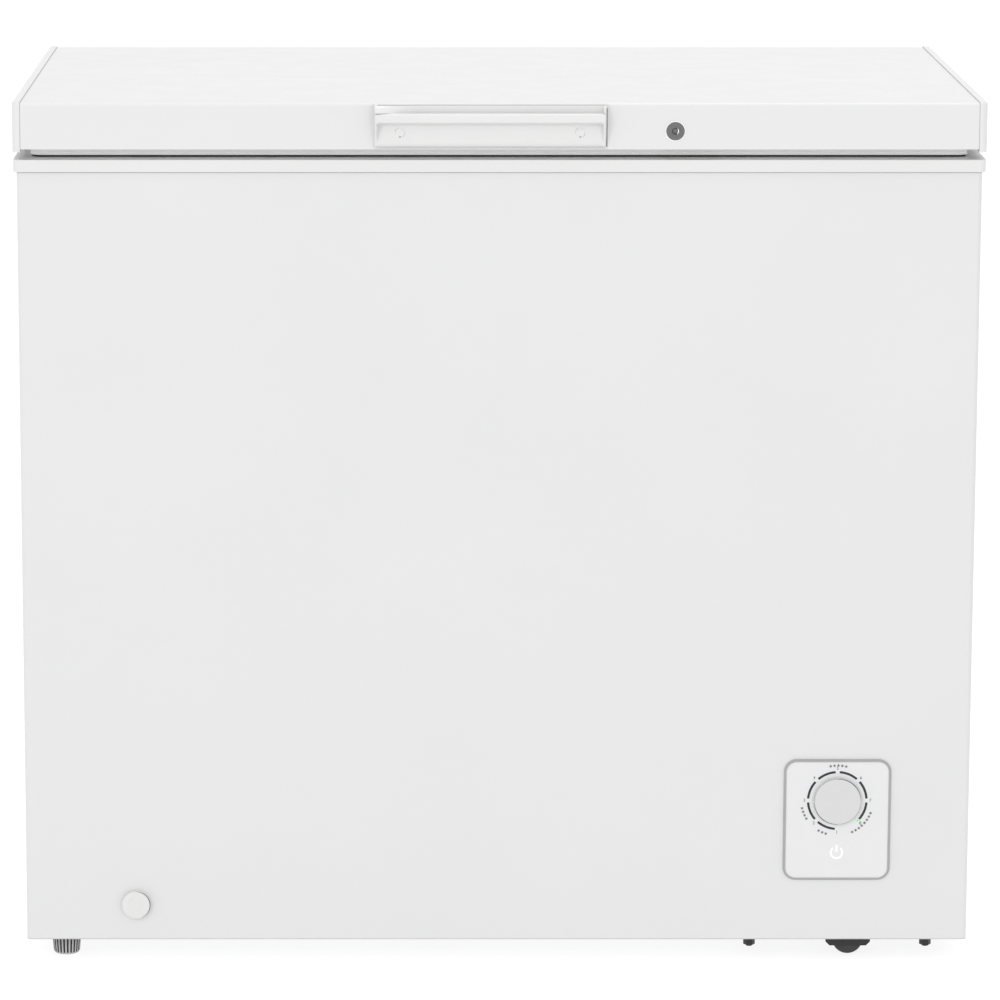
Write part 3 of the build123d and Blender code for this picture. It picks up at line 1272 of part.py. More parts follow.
def lock_housing():
    flange = bar(LOCK_X, LOCK_Z, FRONT - LOCK_FLANGE_T, FRONT, LOCK_D)
    body = bar(LOCK_X, LOCK_Z, FRONT, CAM_Y - 1, LOCK_BODY_D)
    bore = LOCK_PLUG_D + 2 * LOCK_PLUG_GAP
    return flange + body - bar(LOCK_X, LOCK_Z, FRONT - CUT, CAM_Y + CUT, bore)


def lock_nut():
    """Nut that clamps the lock housing behind the skirt."""
    outline = Plane.XZ * RegularPolygon(LOCK_NUT_W / 2, 6, major_radius=False)
    nut = Pos(LOCK_X, FRONT + SHEET, LOCK_Z) * extrude(outline, LOCK_NUT_T, dir=(0, 1, 0))
    return nut - bar(LOCK_X, LOCK_Z, FRONT - CUT, CAM_Y + CUT, LOCK_BODY_D)


def lock_cylinder():
    face = FRONT - LOCK_FLANGE_T
    plug = bar(LOCK_X, LOCK_Z, face, CAM_Y, LOCK_PLUG_D)
    keyway = bar(LOCK_X, LOCK_Z, face - 1, face + KEYWAY_DEPTH, KEYWAY_D)
    pin = bar(LOCK_X, LOCK_Z, face + 0.4, face + KEYWAY_DEPTH, KEY_PIN_D)
    return plug - keyway + pin


def lock_cam():
    """Hook that swings down through the rim's slot and under its top."""
    ring = bar(0, 0, 0, CAM_T, 2 * CAM_R_OUT) - bar(0, 0, -1, CAM_T + 1, 2 * CAM_R_IN)
    reach = CAM_R_OUT * 2
    angles = [CAM_TIP_DEG, (CAM_TIP_DEG + CAM_TAIL_DEG) / 2, CAM_TAIL_DEG]
    corners = [(0.0, 0.0)] + [
        (reach * math.cos(math.radians(a)), reach * math.sin(math.radians(a))) for a in angles
    ]
    wedge = make_face(Polyline(*[(x, 0, z) for x, z in corners], close=True))
    hook = ring & Pos(0, -1, 0) * extrude(wedge, CAM_T + 2, dir=(0, 1, 0))
    middle = (CAM_R_IN + CAM_R_OUT) / 2
    lift = CAM_TAIL_DEG - math.degrees(CAM_ARM_W / 2 / CAM_R_IN)
    arm = Rot(0, -lift, 0) * block(0, middle, 0, CAM_T, -CAM_ARM_W / 2, CAM_ARM_W / 2)
    hub = bar(0, 0, 0, CAM_T, LOCK_PLUG_D + 3)
    return Pos(LOCK_X, CAM_Y, LOCK_Z) * (hook + arm + hub)


# ---- basket --------------------------------------------------------------------------
def basket():
    """Hanging wire basket: four sides and a floor of straight welded wires, and two hangers."""
    ledge = CABINET_TOP + RIM_LEDGE_Z
    top = ledge - BASKET_RIM_D / 2
    bottom = top - BASKET_DEPTH
    x0, x1 = BASKET_X - BASKET_L / 2, BASKET_X + BASKET_L / 2
    y0, y1 = CAVITY_FRONT + BASKET_SIDE_GAP, CAVITY_BACK - BASKET_SIDE_GAP
    inset = (BASKET_RIM_D + BASKET_WIRE_D) / 2 - BASKET_WELD
    xa, xb, ya, yb = x0 + inset, x1 - inset, y0 + inset, y1 - inset
    xs = spread(xa + BASKET_R, xb - BASKET_R, BASKET_CROSS_WIRES)
    ys = spread(ya + BASKET_R, yb - BASKET_R, BASKET_ENDWAYS_WIRES)
    pitch = BASKET_WIRE_D - BASKET_WELD
    ring_zs = spread(bottom, top, BASKET_RINGS + 2)[1:-1]
    panels = []
    for rim, wall, outward in ((y0, ya, -pitch), (y1, yb, pitch)):
        side = cross_bar(rim, top, x0 - BASKET_RIM_D / 2, x1 + BASKET_RIM_D / 2, BASKET_RIM_D)
        side = side + [post(x, wall, bottom + BASKET_WIRE_D / 2, top, BASKET_WIRE_D) for x in xs]
        side = side + [cross_bar(wall + outward, z, xa, xb, BASKET_WIRE_D) for z in ring_zs]
        panels.append(side)
    for rim, wall, outward in ((x0, xa, -pitch), (x1, xb, pitch)):
        end = bar(rim, top, y0 + BASKET_RIM_D / 2, y1 - BASKET_RIM_D / 2, BASKET_RIM_D)
        end = end + [post(wall, y, bottom + pitch + BASKET_WIRE_D / 2, top, BASKET_WIRE_D) for y in ys]
        end = end + [bar(wall + outward, z, ya, yb, BASKET_WIRE_D) for z in ring_zs]
        panels.append(end)
    half = BASKET_WIRE_D / 2
    lengthways = [cross_bar(y, bottom + pitch, xa - half, xb + half, BASKET_WIRE_D) for y in ys]
    crossways = [bar(x, bottom, ya - half, yb + half, BASKET_WIRE_D) for x in xs]
    floor = lengthways[0] + lengthways[1:] + crossways
    return panels + [floor] + basket_hangers(y0, y1, ledge + BASKET_RIM_D / 2)


def spread(first, last, count):
    """Evenly spaced places from first to last."""
    return [first + index * (last - first) / (count - 1) for index in range(count)]


def basket_hangers(y0, y1, z):
    """Bent wires that carry the rim on the ledges at the front and the back."""
    xa, xb = BASKET_X - HANGER_L / 2, BASKET_X + HANGER_L / 2
    reach = RIM_LEDGE_W - LEDGE_GAP - BASKET_RIM_D / 2
    hangers = []
    for rim, seat, inward in ((y0, CAVITY_FRONT - reach, 3), (y1, CAVITY_BACK + reach, -3)):
        points = [(xa, rim + inward, z), (xa, seat, z), (xb, seat, z), (xb, rim + inward, z)]
        hangers.append(tube(points, BASKET_RIM_D, BASKET_RIM_D))
    return hangers


# ---- all pieces ----------------------------------------------------------------------
def main():
    os.makedirs("parts", exist_ok=True)
    write("cabinet_wrap", cabinet_wrap())
    write("back_panel", back_panel())
    write("base_pan", base_pan())
    write("cabinet_foam", together(cabinet_foam()))
    write("inner_liner", inner_liner())
    write("rim_trim", rim_trim())
    write("bay_panel", bay_panel())
    write("compressor_tray", compressor_tray())
    write("tray_bolts", together(tray_bolts() + compressor_bolts()))
    write("evaporator_coil", evaporator_coil())
    write("condenser_coil", condenser_coil())
    write("compressor", compressor())
    write("compressor_mounts", together(compressor_mounts()))
    write("relay_cover", relay_cover())
    write("filter_drier", filter_drier())
    write("refrigerant_lines", together(refrigerant_lines()))
    write("vent_grille", vent_grille())
    write("cord_gland", cord_gland())
    write("control_panel", control_panel())
    write("dial_label", dial_label())
    write("position_lamps", together(position_lamps()))
    write("power_light", power_light(LABEL_FACE, CABINET_FRONT))
    write("thermostat", thermostat())
    write("thermostat_knob", thermostat_knob())
    write("thermostat_shaft", thermostat_shaft())
    write("drain_tube", drain_tube())
    write("drain_dial", drain_dial())
    write("drain_plug", drain_plug())
    for place, y in SUPPORT_YS.items():
        write(f"roller_bracket_{place}", roller_bracket(y))
        write(f"roller_{place}", roller(y))
        write(f"levelling_foot_{place}", levelling_foot(y))
    write("roller_axles", together([axle(y) for y in SUPPORT_YS.values()]))
    write("foot_inserts", together([foot_insert(y) for y in SUPPORT_YS.values()]))
    for place, x in zip(("left", "right"), hinge_xs()):
        write(f"hinge_cabinet_leaf_{place}", hinge_cabinet_leaf(x))
        write(f"hinge_lid_leaf_{place}", hinge_lid_leaf(x))
    write("hinge_covers", together([hinge_cover(x) for x in hinge_xs()]))
    write("hinge_pins", together([hinge_pin(x) for x in hinge_xs()]))
    write("hinge_springs", together([hinge_spring(x) for x in hinge_xs()]))
    write("cabinet_screws", together(cabinet_hinge_screws() + grille_screws()))
    write("lid_screws", together(lid_hinge_screws() + handle_screws()))
    write("lid_skin", lid_skin())
    write("lid_end_cap_left", lid_end_cap(-1))
    write("lid_end_cap_right", lid_end_cap(1))
    write("lid_foam", lid_foam())
    write("lid_liner", lid_liner())
    write("lid_gasket", lid_gasket())
    write("handle", handle())
    write("handle_screw_caps", together(handle_screw_caps()))
    write("lock_bezel", lock_bezel())
    write("lock_housing", lock_housing())
    write("lock_nut", lock_nut())
    write("lock_cylinder", lock_cylinder())
    write("lock_cam", lock_cam())
    write("basket", together(basket()))


if __name__ == "__main__":
    main()
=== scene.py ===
"""Looks for a white chest freezer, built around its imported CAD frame.

Metres. The front faces -Y, the back with the hinges +Y, and +Z is up. The nodes whose shape is
right keep it and get better materials; the others are hidden and stood for by finer pieces.
"""

import json
import math

import bpy
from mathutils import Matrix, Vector


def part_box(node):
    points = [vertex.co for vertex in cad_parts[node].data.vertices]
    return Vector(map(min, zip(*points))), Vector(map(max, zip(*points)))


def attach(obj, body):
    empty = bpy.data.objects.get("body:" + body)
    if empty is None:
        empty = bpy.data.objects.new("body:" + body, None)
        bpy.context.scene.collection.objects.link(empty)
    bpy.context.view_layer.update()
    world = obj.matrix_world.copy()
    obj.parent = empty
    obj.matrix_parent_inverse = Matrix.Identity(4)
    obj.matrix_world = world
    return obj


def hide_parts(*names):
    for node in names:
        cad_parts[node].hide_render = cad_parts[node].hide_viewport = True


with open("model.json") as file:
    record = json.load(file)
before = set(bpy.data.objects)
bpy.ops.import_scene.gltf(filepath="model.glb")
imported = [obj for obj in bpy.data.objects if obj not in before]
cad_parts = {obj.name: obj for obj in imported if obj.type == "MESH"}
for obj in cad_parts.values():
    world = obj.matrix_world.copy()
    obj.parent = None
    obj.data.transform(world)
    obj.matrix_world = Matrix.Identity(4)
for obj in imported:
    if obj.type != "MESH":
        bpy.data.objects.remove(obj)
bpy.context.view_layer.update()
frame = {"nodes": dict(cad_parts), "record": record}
NODES = frame["nodes"]
MM = 0.001


# ---- materials -----------------------------------------------------------------------
def node(tree, kind, **inputs):
    """A shader node with its input values set by name."""
    made = tree.nodes.new(kind)
    for name, value in inputs.items():
        made.inputs[name.replace("_", " ")].default_value = value
    return made


def noise(tree, vector, scale, detail=4.0, roughness=0.55):
    made = node(tree, "ShaderNodeTexNoise", Scale=scale, Detail=detail, Roughness=roughness)
    tree.links.new(vector, made.inputs["Vector"])
    return made.outputs["Fac"]


def cells(tree, vector, scale, feature="F1", output="Distance"):
    made = tree.nodes.new("ShaderNodeTexVoronoi")
    made.feature = feature
    made.inputs["Scale"].default_value = scale
    tree.links.new(vector, made.inputs["Vector"])
    return made.outputs[output]


def remap(tree, value, low, high, first=0.3, last=0.7):
    """value from first to last becomes low to high."""
    made = tree.nodes.new("ShaderNodeMapRange")
    for name, number in (("From Min", first), ("From Max", last), ("To Min", low), ("To Max", high)):
        made.inputs[name].default_value = number
    tree.links.new(value, made.inputs["Value"])
    return made.outputs["Result"]


def blend(tree, factor, first, second):
    """A colour between two, where each is a colour or another node's output."""
    made = tree.nodes.new("ShaderNodeMix")
    made.data_type = "RGBA"
    for socket, colour in ((made.inputs[6], first), (made.inputs[7], second)):
        if isinstance(colour, bpy.types.NodeSocket):
            tree.links.new(colour, socket)
        else:
            socket.default_value = (*colour, 1.0)
    tree.links.new(factor, made.inputs[0])
    return made.outputs[2]


def shade(colour, change):
    """The colour made lighter or darker by that share."""
    return tuple(min(1.0, channel * (1.0 + change)) for channel in colour)


def surface(
    name,
    colour,
    tint=None,
    vary=0.015,
    vary_scale=5.0,
    rough=0.4,
    rough_vary=0.06,
    rough_scale=25.0,
    grain="noise",
    grain_scale=900.0,
    grain_depth=0.01,
    grain_strength=0.3,
    wave_depth=0.0,
    wave_scale=4.0,
    stretch=(1.0, 1.0, 1.0),
    spangle=0.0,
    spangle_scale=90.0,
    metallic=0.0,
    coat=0.0,
    glow=0.0,
    glow_colour=(1.0, 1.0, 1.0),
):
    """One procedural finish: mottled colour, uneven gloss, and a fine grain over slow waves."""
    made = bpy.data.materials.new(name)
    made.use_nodes = True
    tree = made.node_tree
    shader = tree.nodes["Principled BSDF"]
    place = node(tree, "ShaderNodeTexCoord").outputs["Object"]
    mapping = tree.nodes.new("ShaderNodeMapping")
    mapping.inputs["Scale"].default_value = stretch
    tree.links.new(place, mapping.inputs["Vector"])
    grained = mapping.outputs["Vector"]

    mottle = remap(tree, noise(tree, place, vary_scale, 6.0, 0.6), 0.0, 1.0)
    body = blend(tree, mottle, shade(colour, -vary), shade(tint or colour, vary))
    if spangle:
        flakes = cells(tree, place, spangle_scale, output="Color")
        grey = node(tree, "ShaderNodeRGBToBW")
        tree.links.new(flakes, grey.inputs["Color"])
        flat = remap(tree, grey.outputs["Val"], 0.0, spangle, 0.0, 1.0)
        body = blend(tree, flat, body, shade(colour, -0.5))
    tree.links.new(body, shader.inputs["Base Color"])

    wear = noise(tree, place, rough_scale, 5.0, 0.6)
    gloss = remap(tree, wear, max(0.02, rough - rough_vary), min(1.0, rough + rough_vary))
    tree.links.new(gloss, shader.inputs["Roughness"])

    if grain == "cells":
        relief = cells(tree, grained, grain_scale, "SMOOTH_F1")
    else:
        relief = noise(tree, grained, grain_scale, 3.0, 0.5)
    bump = node(tree, "ShaderNodeBump", Strength=grain_strength, Distance=grain_depth * MM)
    tree.links.new(relief, bump.inputs["Height"])
    if wave_depth:
        slow = node(tree, "ShaderNodeBump", Strength=0.5, Distance=wave_depth * MM)
        tree.links.new(noise(tree, place, wave_scale, 2.0, 0.4), slow.inputs["Height"])
        tree.links.new(slow.outputs["Normal"], bump.inputs["Normal"])
    tree.links.new(bump.outputs["Normal"], shader.inputs["Normal"])

    shader.inputs["Metallic"].default_value = metallic
    shader.inputs["Coat Weight"].default_value = coat
    shader.inputs["Coat Roughness"].default_value = 0.12
    if glow:
        shader.inputs["Emission Color"].default_value = (*glow_colour, 1.0)
        shader.inputs["Emission Strength"].default_value = glow
    return made


WHITE = (0.655, 0.655, 0.657)
ZINC = (0.56, 0.57, 0.58)

FINISHES = {
    "cabinet_paint": dict(
        colour=WHITE, vary=0.008, rough=0.36, grain_scale=1100, grain_depth=0.012,
        grain_strength=0.2, wave_depth=0.12, wave_scale=3.0,
    ),
    "lid_paint": dict(
        colour=(0.665, 0.665, 0.666), vary=0.006, rough=0.36, grain_scale=1100, grain_depth=0.012,
        grain_strength=0.2, wave_depth=0.06, wave_scale=2.5,
    ),
    "rear_steel": dict(
        colour=(0.50, 0.51, 0.52), vary=0.05, rough=0.42, rough_vary=0.10, grain_scale=700,
        grain_depth=0.02, spangle=0.22, spangle_scale=110, wave_depth=0.4, metallic=0.35,
    ),
    "tray_steel": dict(
        colour=ZINC, vary=0.06, rough=0.38, rough_vary=0.12, spangle=0.4, spangle_scale=80,
        grain_depth=0.02, metallic=0.9,
    ),
    "zinc_steel": dict(
        colour=(0.60, 0.60, 0.57), tint=(0.62, 0.58, 0.48), vary=0.06, vary_scale=60, rough=0.33,
        rough_vary=0.10, rough_scale=200, grain_scale=2500, grain_depth=0.02, metallic=0.95,
    ),
    "hinge_steel": dict(
        colour=(0.70, 0.70, 0.70), vary=0.03, vary_scale=30, rough=0.36, grain_scale=1200,
        grain_depth=0.03, wave_depth=0.1, wave_scale=20,
    ),
    "insulation": dict(
        colour=(0.80, 0.68, 0.40), tint=(0.86, 0.78, 0.52), vary=0.06, vary_scale=25, rough=0.9,
        grain="cells", grain_scale=700, grain_depth=0.5, grain_strength=0.8,
    ),
    "liner_sheet": dict(
        colour=(0.72, 0.73, 0.74), vary=0.02, vary_scale=12, rough=0.30, rough_vary=0.08,
        grain="cells", grain_scale=230, grain_depth=0.10, grain_strength=0.35, wave_depth=0.08,
        metallic=0.15,
    ),
    "lid_liner_plastic": dict(
        colour=(0.76, 0.76, 0.765), vary=0.012, rough=0.28, grain_scale=500, grain_depth=0.04,
        wave_depth=0.4, wave_scale=6.0,
    ),
    "rim_plastic": dict(
        colour=(0.665, 0.665, 0.662), vary=0.012, rough=0.36, grain_scale=1800, grain_depth=0.02,
        wave_depth=0.1, wave_scale=8.0,
    ),
    "cap_plastic": dict(
        colour=(0.665, 0.665, 0.662), vary=0.012, vary_scale=12, rough=0.38, grain_scale=1800,
        grain_depth=0.03, wave_depth=0.05, wave_scale=12.0,
    ),
    "handle_plastic": dict(
        colour=(0.670, 0.670, 0.668), vary=0.012, vary_scale=20, rough=0.34, grain_scale=1800,
        grain_depth=0.03, wave_depth=0.05, wave_scale=15.0,
    ),
    # gasket_rubber: its glow is painted light, brightening the seal in the shaded gap under the lid
    "gasket_rubber": dict(
        colour=(0.73, 0.73, 0.73), vary=0.02, vary_scale=30, rough=0.55, grain_scale=900,
        grain_depth=0.03, stretch=(1.0, 1.0, 6.0), glow=0.17,
    ),
    "panel_plastic": dict(
        colour=(0.345, 0.345, 0.35), vary=0.03, vary_scale=40, rough=0.34, grain_scale=1500,
        grain_depth=0.02,
    ),
    "label_film": dict(
        colour=(0.680, 0.680, 0.682), vary=0.008, vary_scale=30, rough=0.42, grain_scale=3000,
        grain_depth=0.02,
    ),
    "knob_plastic": dict(
        colour=(0.585, 0.585, 0.585), vary=0.012, vary_scale=40, rough=0.40, grain_scale=2500,
        grain_depth=0.03, wave_depth=0.02, wave_scale=40,
    ),
    "grey_plastic": dict(
        colour=(0.055, 0.055, 0.058), vary=0.08, vary_scale=40, rough=0.5, grain_scale=1200,
        grain_depth=0.05,
    ),
    "lamp_plastic": dict(
        colour=(0.74, 0.76, 0.75), vary=0.01, vary_scale=300, rough=0.25, grain_scale=3000,
        grain_depth=0.01, coat=0.4,
    ),
    "light_plastic": dict(
        colour=(0.93, 0.93, 0.93), vary=0.01, vary_scale=200, rough=0.28, grain_scale=3000,
        grain_depth=0.01, glow=0.12, coat=0.3,
    ),
    "steel_shaft": dict(
        colour=(0.60, 0.60, 0.60), vary=0.04, vary_scale=80, rough=0.28, grain_scale=1500,
        grain_depth=0.02, stretch=(1.0, 12.0, 1.0), metallic=1.0,
    ),
    "drain_plastic": dict(
        colour=(0.655, 0.655, 0.650), vary=0.015, vary_scale=40, rough=0.42, grain_scale=1800,
        grain_depth=0.04,
    ),
    "foot_plastic": dict(
        colour=(0.40, 0.40, 0.405), vary=0.10, vary_scale=60, rough=0.5, rough_vary=0.12,
        grain_scale=900, grain_depth=0.08,
    ),
    "roller_plastic": dict(
        colour=(0.026, 0.026, 0.027), vary=0.15, vary_scale=60, rough=0.45, rough_vary=0.15,
        grain_scale=900, grain_depth=0.08,
    ),
    "bracket_steel": dict(
        colour=(0.010, 0.010, 0.010), vary=0.12, vary_scale=50, rough=0.40, rough_vary=0.12,
        grain_scale=900, grain_depth=0.05,
    ),
    "black_enamel": dict(
        colour=(0.012, 0.012, 0.012), vary=0.2, vary_scale=30, rough=0.22, rough_vary=0.10,
        grain_scale=300, grain_depth=0.10, coat=0.4,
    ),
    "mount_rubber": dict(
        colour=(0.020, 0.020, 0.020), vary=0.15, vary_scale=60, rough=0.75, grain_scale=600,
        grain_depth=0.10,
    ),
    "copper_tube": dict(
        colour=(0.72, 0.36, 0.22), tint=(0.55, 0.26, 0.16), vary=0.08, vary_scale=40, rough=0.34,
        rough_vary=0.12, grain_scale=900, grain_depth=0.03, metallic=1.0,
    ),
    "grille_plastic": dict(
        colour=(0.66, 0.66, 0.66), vary=0.02, vary_scale=25, rough=0.5, grain_scale=1200,
        grain_depth=0.06,
    ),
    "lock_metal": dict(
        colour=(0.135, 0.135, 0.138), vary=0.10, vary_scale=90, rough=0.40, rough_vary=0.10,
        rough_scale=250, grain_scale=2500, grain_depth=0.03, metallic=0.35,
    ),
    "basket_wire": dict(
        colour=(0.80, 0.80, 0.80), vary=0.02, vary_scale=60, rough=0.24, grain_scale=900,
        grain_depth=0.05, coat=0.3,
    ),
}

MATERIALS = {name: surface(name, **finish) for name, finish in FINISHES.items()}
DIAL_INK = surface(
    "dial_ink", (0.004, 0.016, 0.022), vary=0.2, vary_scale=200, rough=0.45, grain_scale=4000
)
NUMBER_INK = surface(
    "number_ink", (0.045, 0.075, 0.095), vary=0.1, vary_scale=200, rough=0.45, grain_scale=4000
)
SYMBOL_INK = surface(
    "symbol_ink", (0.045, 0.040, 0.040), vary=0.1, vary_scale=200, rough=0.45, grain_scale=4000
)
LIT_LAMP = surface(
    "lit_lamp", (0.01, 0.60, 0.04), vary=0.05, vary_scale=300, rough=0.3, grain_scale=4000,
    glow=0.75, glow_colour=(0.0, 1.0, 0.02),
)
# Near black for the painted shade in the grooves of the feet.
FOOT_GROOVE_SHADE = surface(
    "foot_groove_shade", (0.015, 0.015, 0.015), vary=0.2, vary_scale=80, rough=0.7, grain_scale=900
)
# Mid grey for the hairline seams, and for the painted shade on the handle caps' rims and the painted
# shadow under the rim frame.
SEAM_AND_SHADE_LINE = surface(
    "seam_and_shade_line", (0.38, 0.38, 0.38), vary=0.1, vary_scale=60, rough=0.7, grain_scale=1500
)
HEM_SHADE = surface(
    "hem_shade", (0.47, 0.47, 0.47), vary=0.1, vary_scale=60, rough=0.7, grain_scale=1500
)
EDGE_SHADE = surface(
    "edge_shade", (0.085, 0.085, 0.088), vary=0.15, vary_scale=90, rough=0.6, grain_scale=2500
)
# Polished metal for the lock's bezel, also used for the painted highlight on the key hole's edge.
BEZEL_METAL_AND_GLINT = surface(
    "bezel_metal_and_glint", (0.92, 0.92, 0.92), vary=0.02, vary_scale=200, rough=0.18, metallic=0.6,
    grain_scale=3000,
)
# Near black for a strip of painted shadow between the lid's seal and the rim.
SEAL_SHADOW = surface(
    "seal_shadow", (0.012, 0.012, 0.012), vary=0.2, vary_scale=60, rough=0.8, grain_scale=600
)


def dress_cad_nodes():
    for part in frame["record"]["subparts"]:
        slots = NODES[part["node"]].data.materials
        slots.clear()
        slots.append(MATERIALS[part["material_slot"]])


# ---- mesh helpers --------------------------------------------------------------------
def mounted(name, mesh, body, place=(0.0, 0.0, 0.0), turn=(0.0, 0.0, 0.0)):
    """A mesh's object, riding on a CAD body."""
    made = bpy.data.objects.new(name, mesh)
    bpy.context.scene.collection.objects.link(made)
    made.location = place
    made.rotation_euler = turn
    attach(made, body)
    return made


def piece(name, shape, body, slot, material=None, smooth=True):
    """A new shape, in its slot's own finish unless another is given."""
    mesh = bpy.data.meshes.new(name)
    mesh.from_pydata([tuple(v) for v in shape[0]], [], shape[1])
    mesh.validate()
    mesh.materials.append(material or MATERIALS[slot])
    for face in mesh.polygons:
        face.use_smooth = smooth
    return mounted(name, mesh, body)


def meshed(name, curve, material):
    """The surface of a curve or a text, as a mesh of one material."""
    source = bpy.data.objects.new(name, curve)
    bpy.context.scene.collection.objects.link(source)
    bpy.context.view_layer.update()
    mesh = bpy.data.meshes.new_from_object(source)
    bpy.data.objects.remove(source)
    mesh.materials.clear()
    mesh.materials.append(material)
    return mesh


def sharpen(made, degrees=35.0):
    """Keeps edges steeper than this crisp."""
    made.data.set_sharp_from_angle(angle=math.radians(degrees))


def islands(name):
    """The boxes of a node's separate solids, as (lowest corner, highest corner)."""
    mesh = NODES[name].data
    keys, owner = {}, []
    for vertex in mesh.vertices:
        key = tuple(round(c, 6) for c in vertex.co)
        owner.append(keys.setdefault(key, len(keys)))
    root = list(range(len(keys)))

    def top(index):
        while root[index] != index:
            root[index] = root[root[index]]
            index = root[index]
        return index

    for face in mesh.polygons:
        first = top(owner[face.vertices[0]])
        for corner in face.vertices[1:]:
            root[top(owner[corner])] = first
    groups = {}
    for vertex in mesh.vertices:
        groups.setdefault(top(owner[vertex.index]), []).append(vertex.co)
    boxes = []
    for points in groups.values():
        low = Vector(min(p[axis] for p in points) for axis in range(3))
        high = Vector(max(p[axis] for p in points) for axis in range(3))
        boxes.append((low, high))
    return boxes


def walls(size, rings, closed=False, flip=False, start=0):
    """The faces that join rings of size corners one after another."""
    faces = []
    for ring in range(rings if closed else rings - 1):
        near, far = start + ring * size, start + (ring + 1) % rings * size
        for step in range(size):
            after = (step + 1) % size
            corners = (near + step, near + after, far + after, far + step)
            faces.append((corners[0], *corners[:0:-1]) if flip else corners)
    return faces


def turned(sections, count=48, facing=(0.0, -1.0, 0.0)):
    """Rings of (radius, distance along facing), joined into a closed turned shape.

    A radius is a number, or a function of the angle round the axis.
    """
    out = Vector(facing)
    side = Vector((1.0, 0.0, 0.0)) if abs(out.x) < 0.5 else Vector((0.0, 1.0, 0.0))
    up = out.cross(side)
    vertices = []
    for radius, along in sections:
        for step in range(count):
            angle = math.tau * step / count
            reach = radius(angle) if callable(radius) else radius
            across = side * (reach * math.cos(angle)) + up * (reach * math.sin(angle))
            vertices.append(out * along + across)
    last = (len(sections) - 1) * count
    ends = [tuple(range(count))[::-1], tuple(range(last, last + count))]
    return vertices, walls(count, len(sections)) + ends


def moved(shape, place):
    """The shape with its origin at that place."""
    return [Vector(place) + v for v in shape[0]], shape[1]


def merged(shapes):
    """Several shapes as one."""
    vertices, faces = [], []
    for points, corners in shapes:
        start = len(vertices)
        vertices += points
        faces += [tuple(index + start for index in face) for face in corners]
    return vertices, faces


def scattered(shape, places):
    """The same shape at several places, as one."""
    return merged([moved(shape, place) for place in places])


def back_middle(low, high):
    """The middle of a box's back face."""
    return Vector(((low.x + high.x) / 2, high.y, (low.z + high.z) / 2))


def loop_points(low, high, radius, per_corner=10):
    """Points and outward directions round a level rounded rectangle, anticlockwise from above."""
    found = []
    corners = (
        (high.x - radius, high.y - radius, 0.0),
        (low.x + radius, high.y - radius, 90.0),
        (low.x + radius, low.y + radius, 180.0),
        (high.x - radius, low.y + radius, 270.0),
    )
    for x, y, start in corners:
        for step in range(per_corner + 1):
            angle = math.radians(start + 90.0 * step / per_corner)
            out = Vector((math.cos(angle), math.sin(angle), 0.0))
            found.append((Vector((x, y, 0.0)) + out * radius, out))
    return found


def swept_loop(points, profile):
    """A closed ring whose section is the closed outline profile, given as (inset, height)."""
    vertices = []
    for place, out in points:
        vertices += [place - out * inset + Vector((0.0, 0.0, height)) for inset, height in profile]
    return vertices, walls(len(profile), len(points), closed=True, flip=True)


SLAB_FACES = (
    (3, 2, 1, 0), (4, 5, 6, 7), (0, 1, 5, 4), (1, 2, 6, 5), (2, 3, 7, 6), (3, 0, 4, 7)
)


def slabs(boxes):
    """Vertices and faces of small blocks given by their opposite corners."""
    vertices, faces = [], []
    for low, high in boxes:
        start = len(vertices)
        corners = ((low[0], low[1]), (high[0], low[1]), (high[0], high[1]), (low[0], high[1]))
        for z in (low[2], high[2]):
            vertices += [Vector((x, y, z)) for x, y in corners]
        faces += [tuple(start + corner for corner in face) for face in SLAB_FACES]
    return vertices, faces


SHADE_RING_BURIED = 0.5 * MM
SHADE_RING_PROUD = 0.03 * MM
SHADE_RING_STEPS = 144


def inlay_ring(name, middle, radius, half_width, material, body, slot):
    """Thin raised ring of painted shade on a face looking to the front; half_width follows the angle."""
    count = SHADE_RING_STEPS
    vertices = []
    for step in range(count):
        angle = math.tau * step / count
        out = Vector((math.cos(angle), 0.0, math.sin(angle)))
        half = half_width(angle)
        corners = (
            (-half, SHADE_RING_BURIED), (half, SHADE_RING_BURIED), (half, -SHADE_RING_PROUD), (-half, -SHADE_RING_PROUD)
        )
        for reach, along in corners:
            vertices.append(middle + out * (radius + reach) + Vector((0.0, along, 0.0)))
    piece(name, (vertices, walls(4, count, closed=True)), body, slot, material)


def lobes(least, most, middle, count, power=0.7):
    """Half width, least to most in mm, that swells towards count directions from middle on."""

    def half(angle):
        swell = max(0.0, math.cos(count * (angle - math.radians(middle)))) ** power
        return (least + (most - least) * swell) * MM

    return half


def spread(first, last, count):
    """count evenly spaced numbers from first to last."""
    return [first + index * (last - first) / (count - 1) for index in range(count)]


# ---- lid seal ------------------------------------------------------------------------
SEAL_CORNER = 12 * MM
SEAL_LIP = 1.9 * MM  # the seal's lower lip hangs this far above the rim


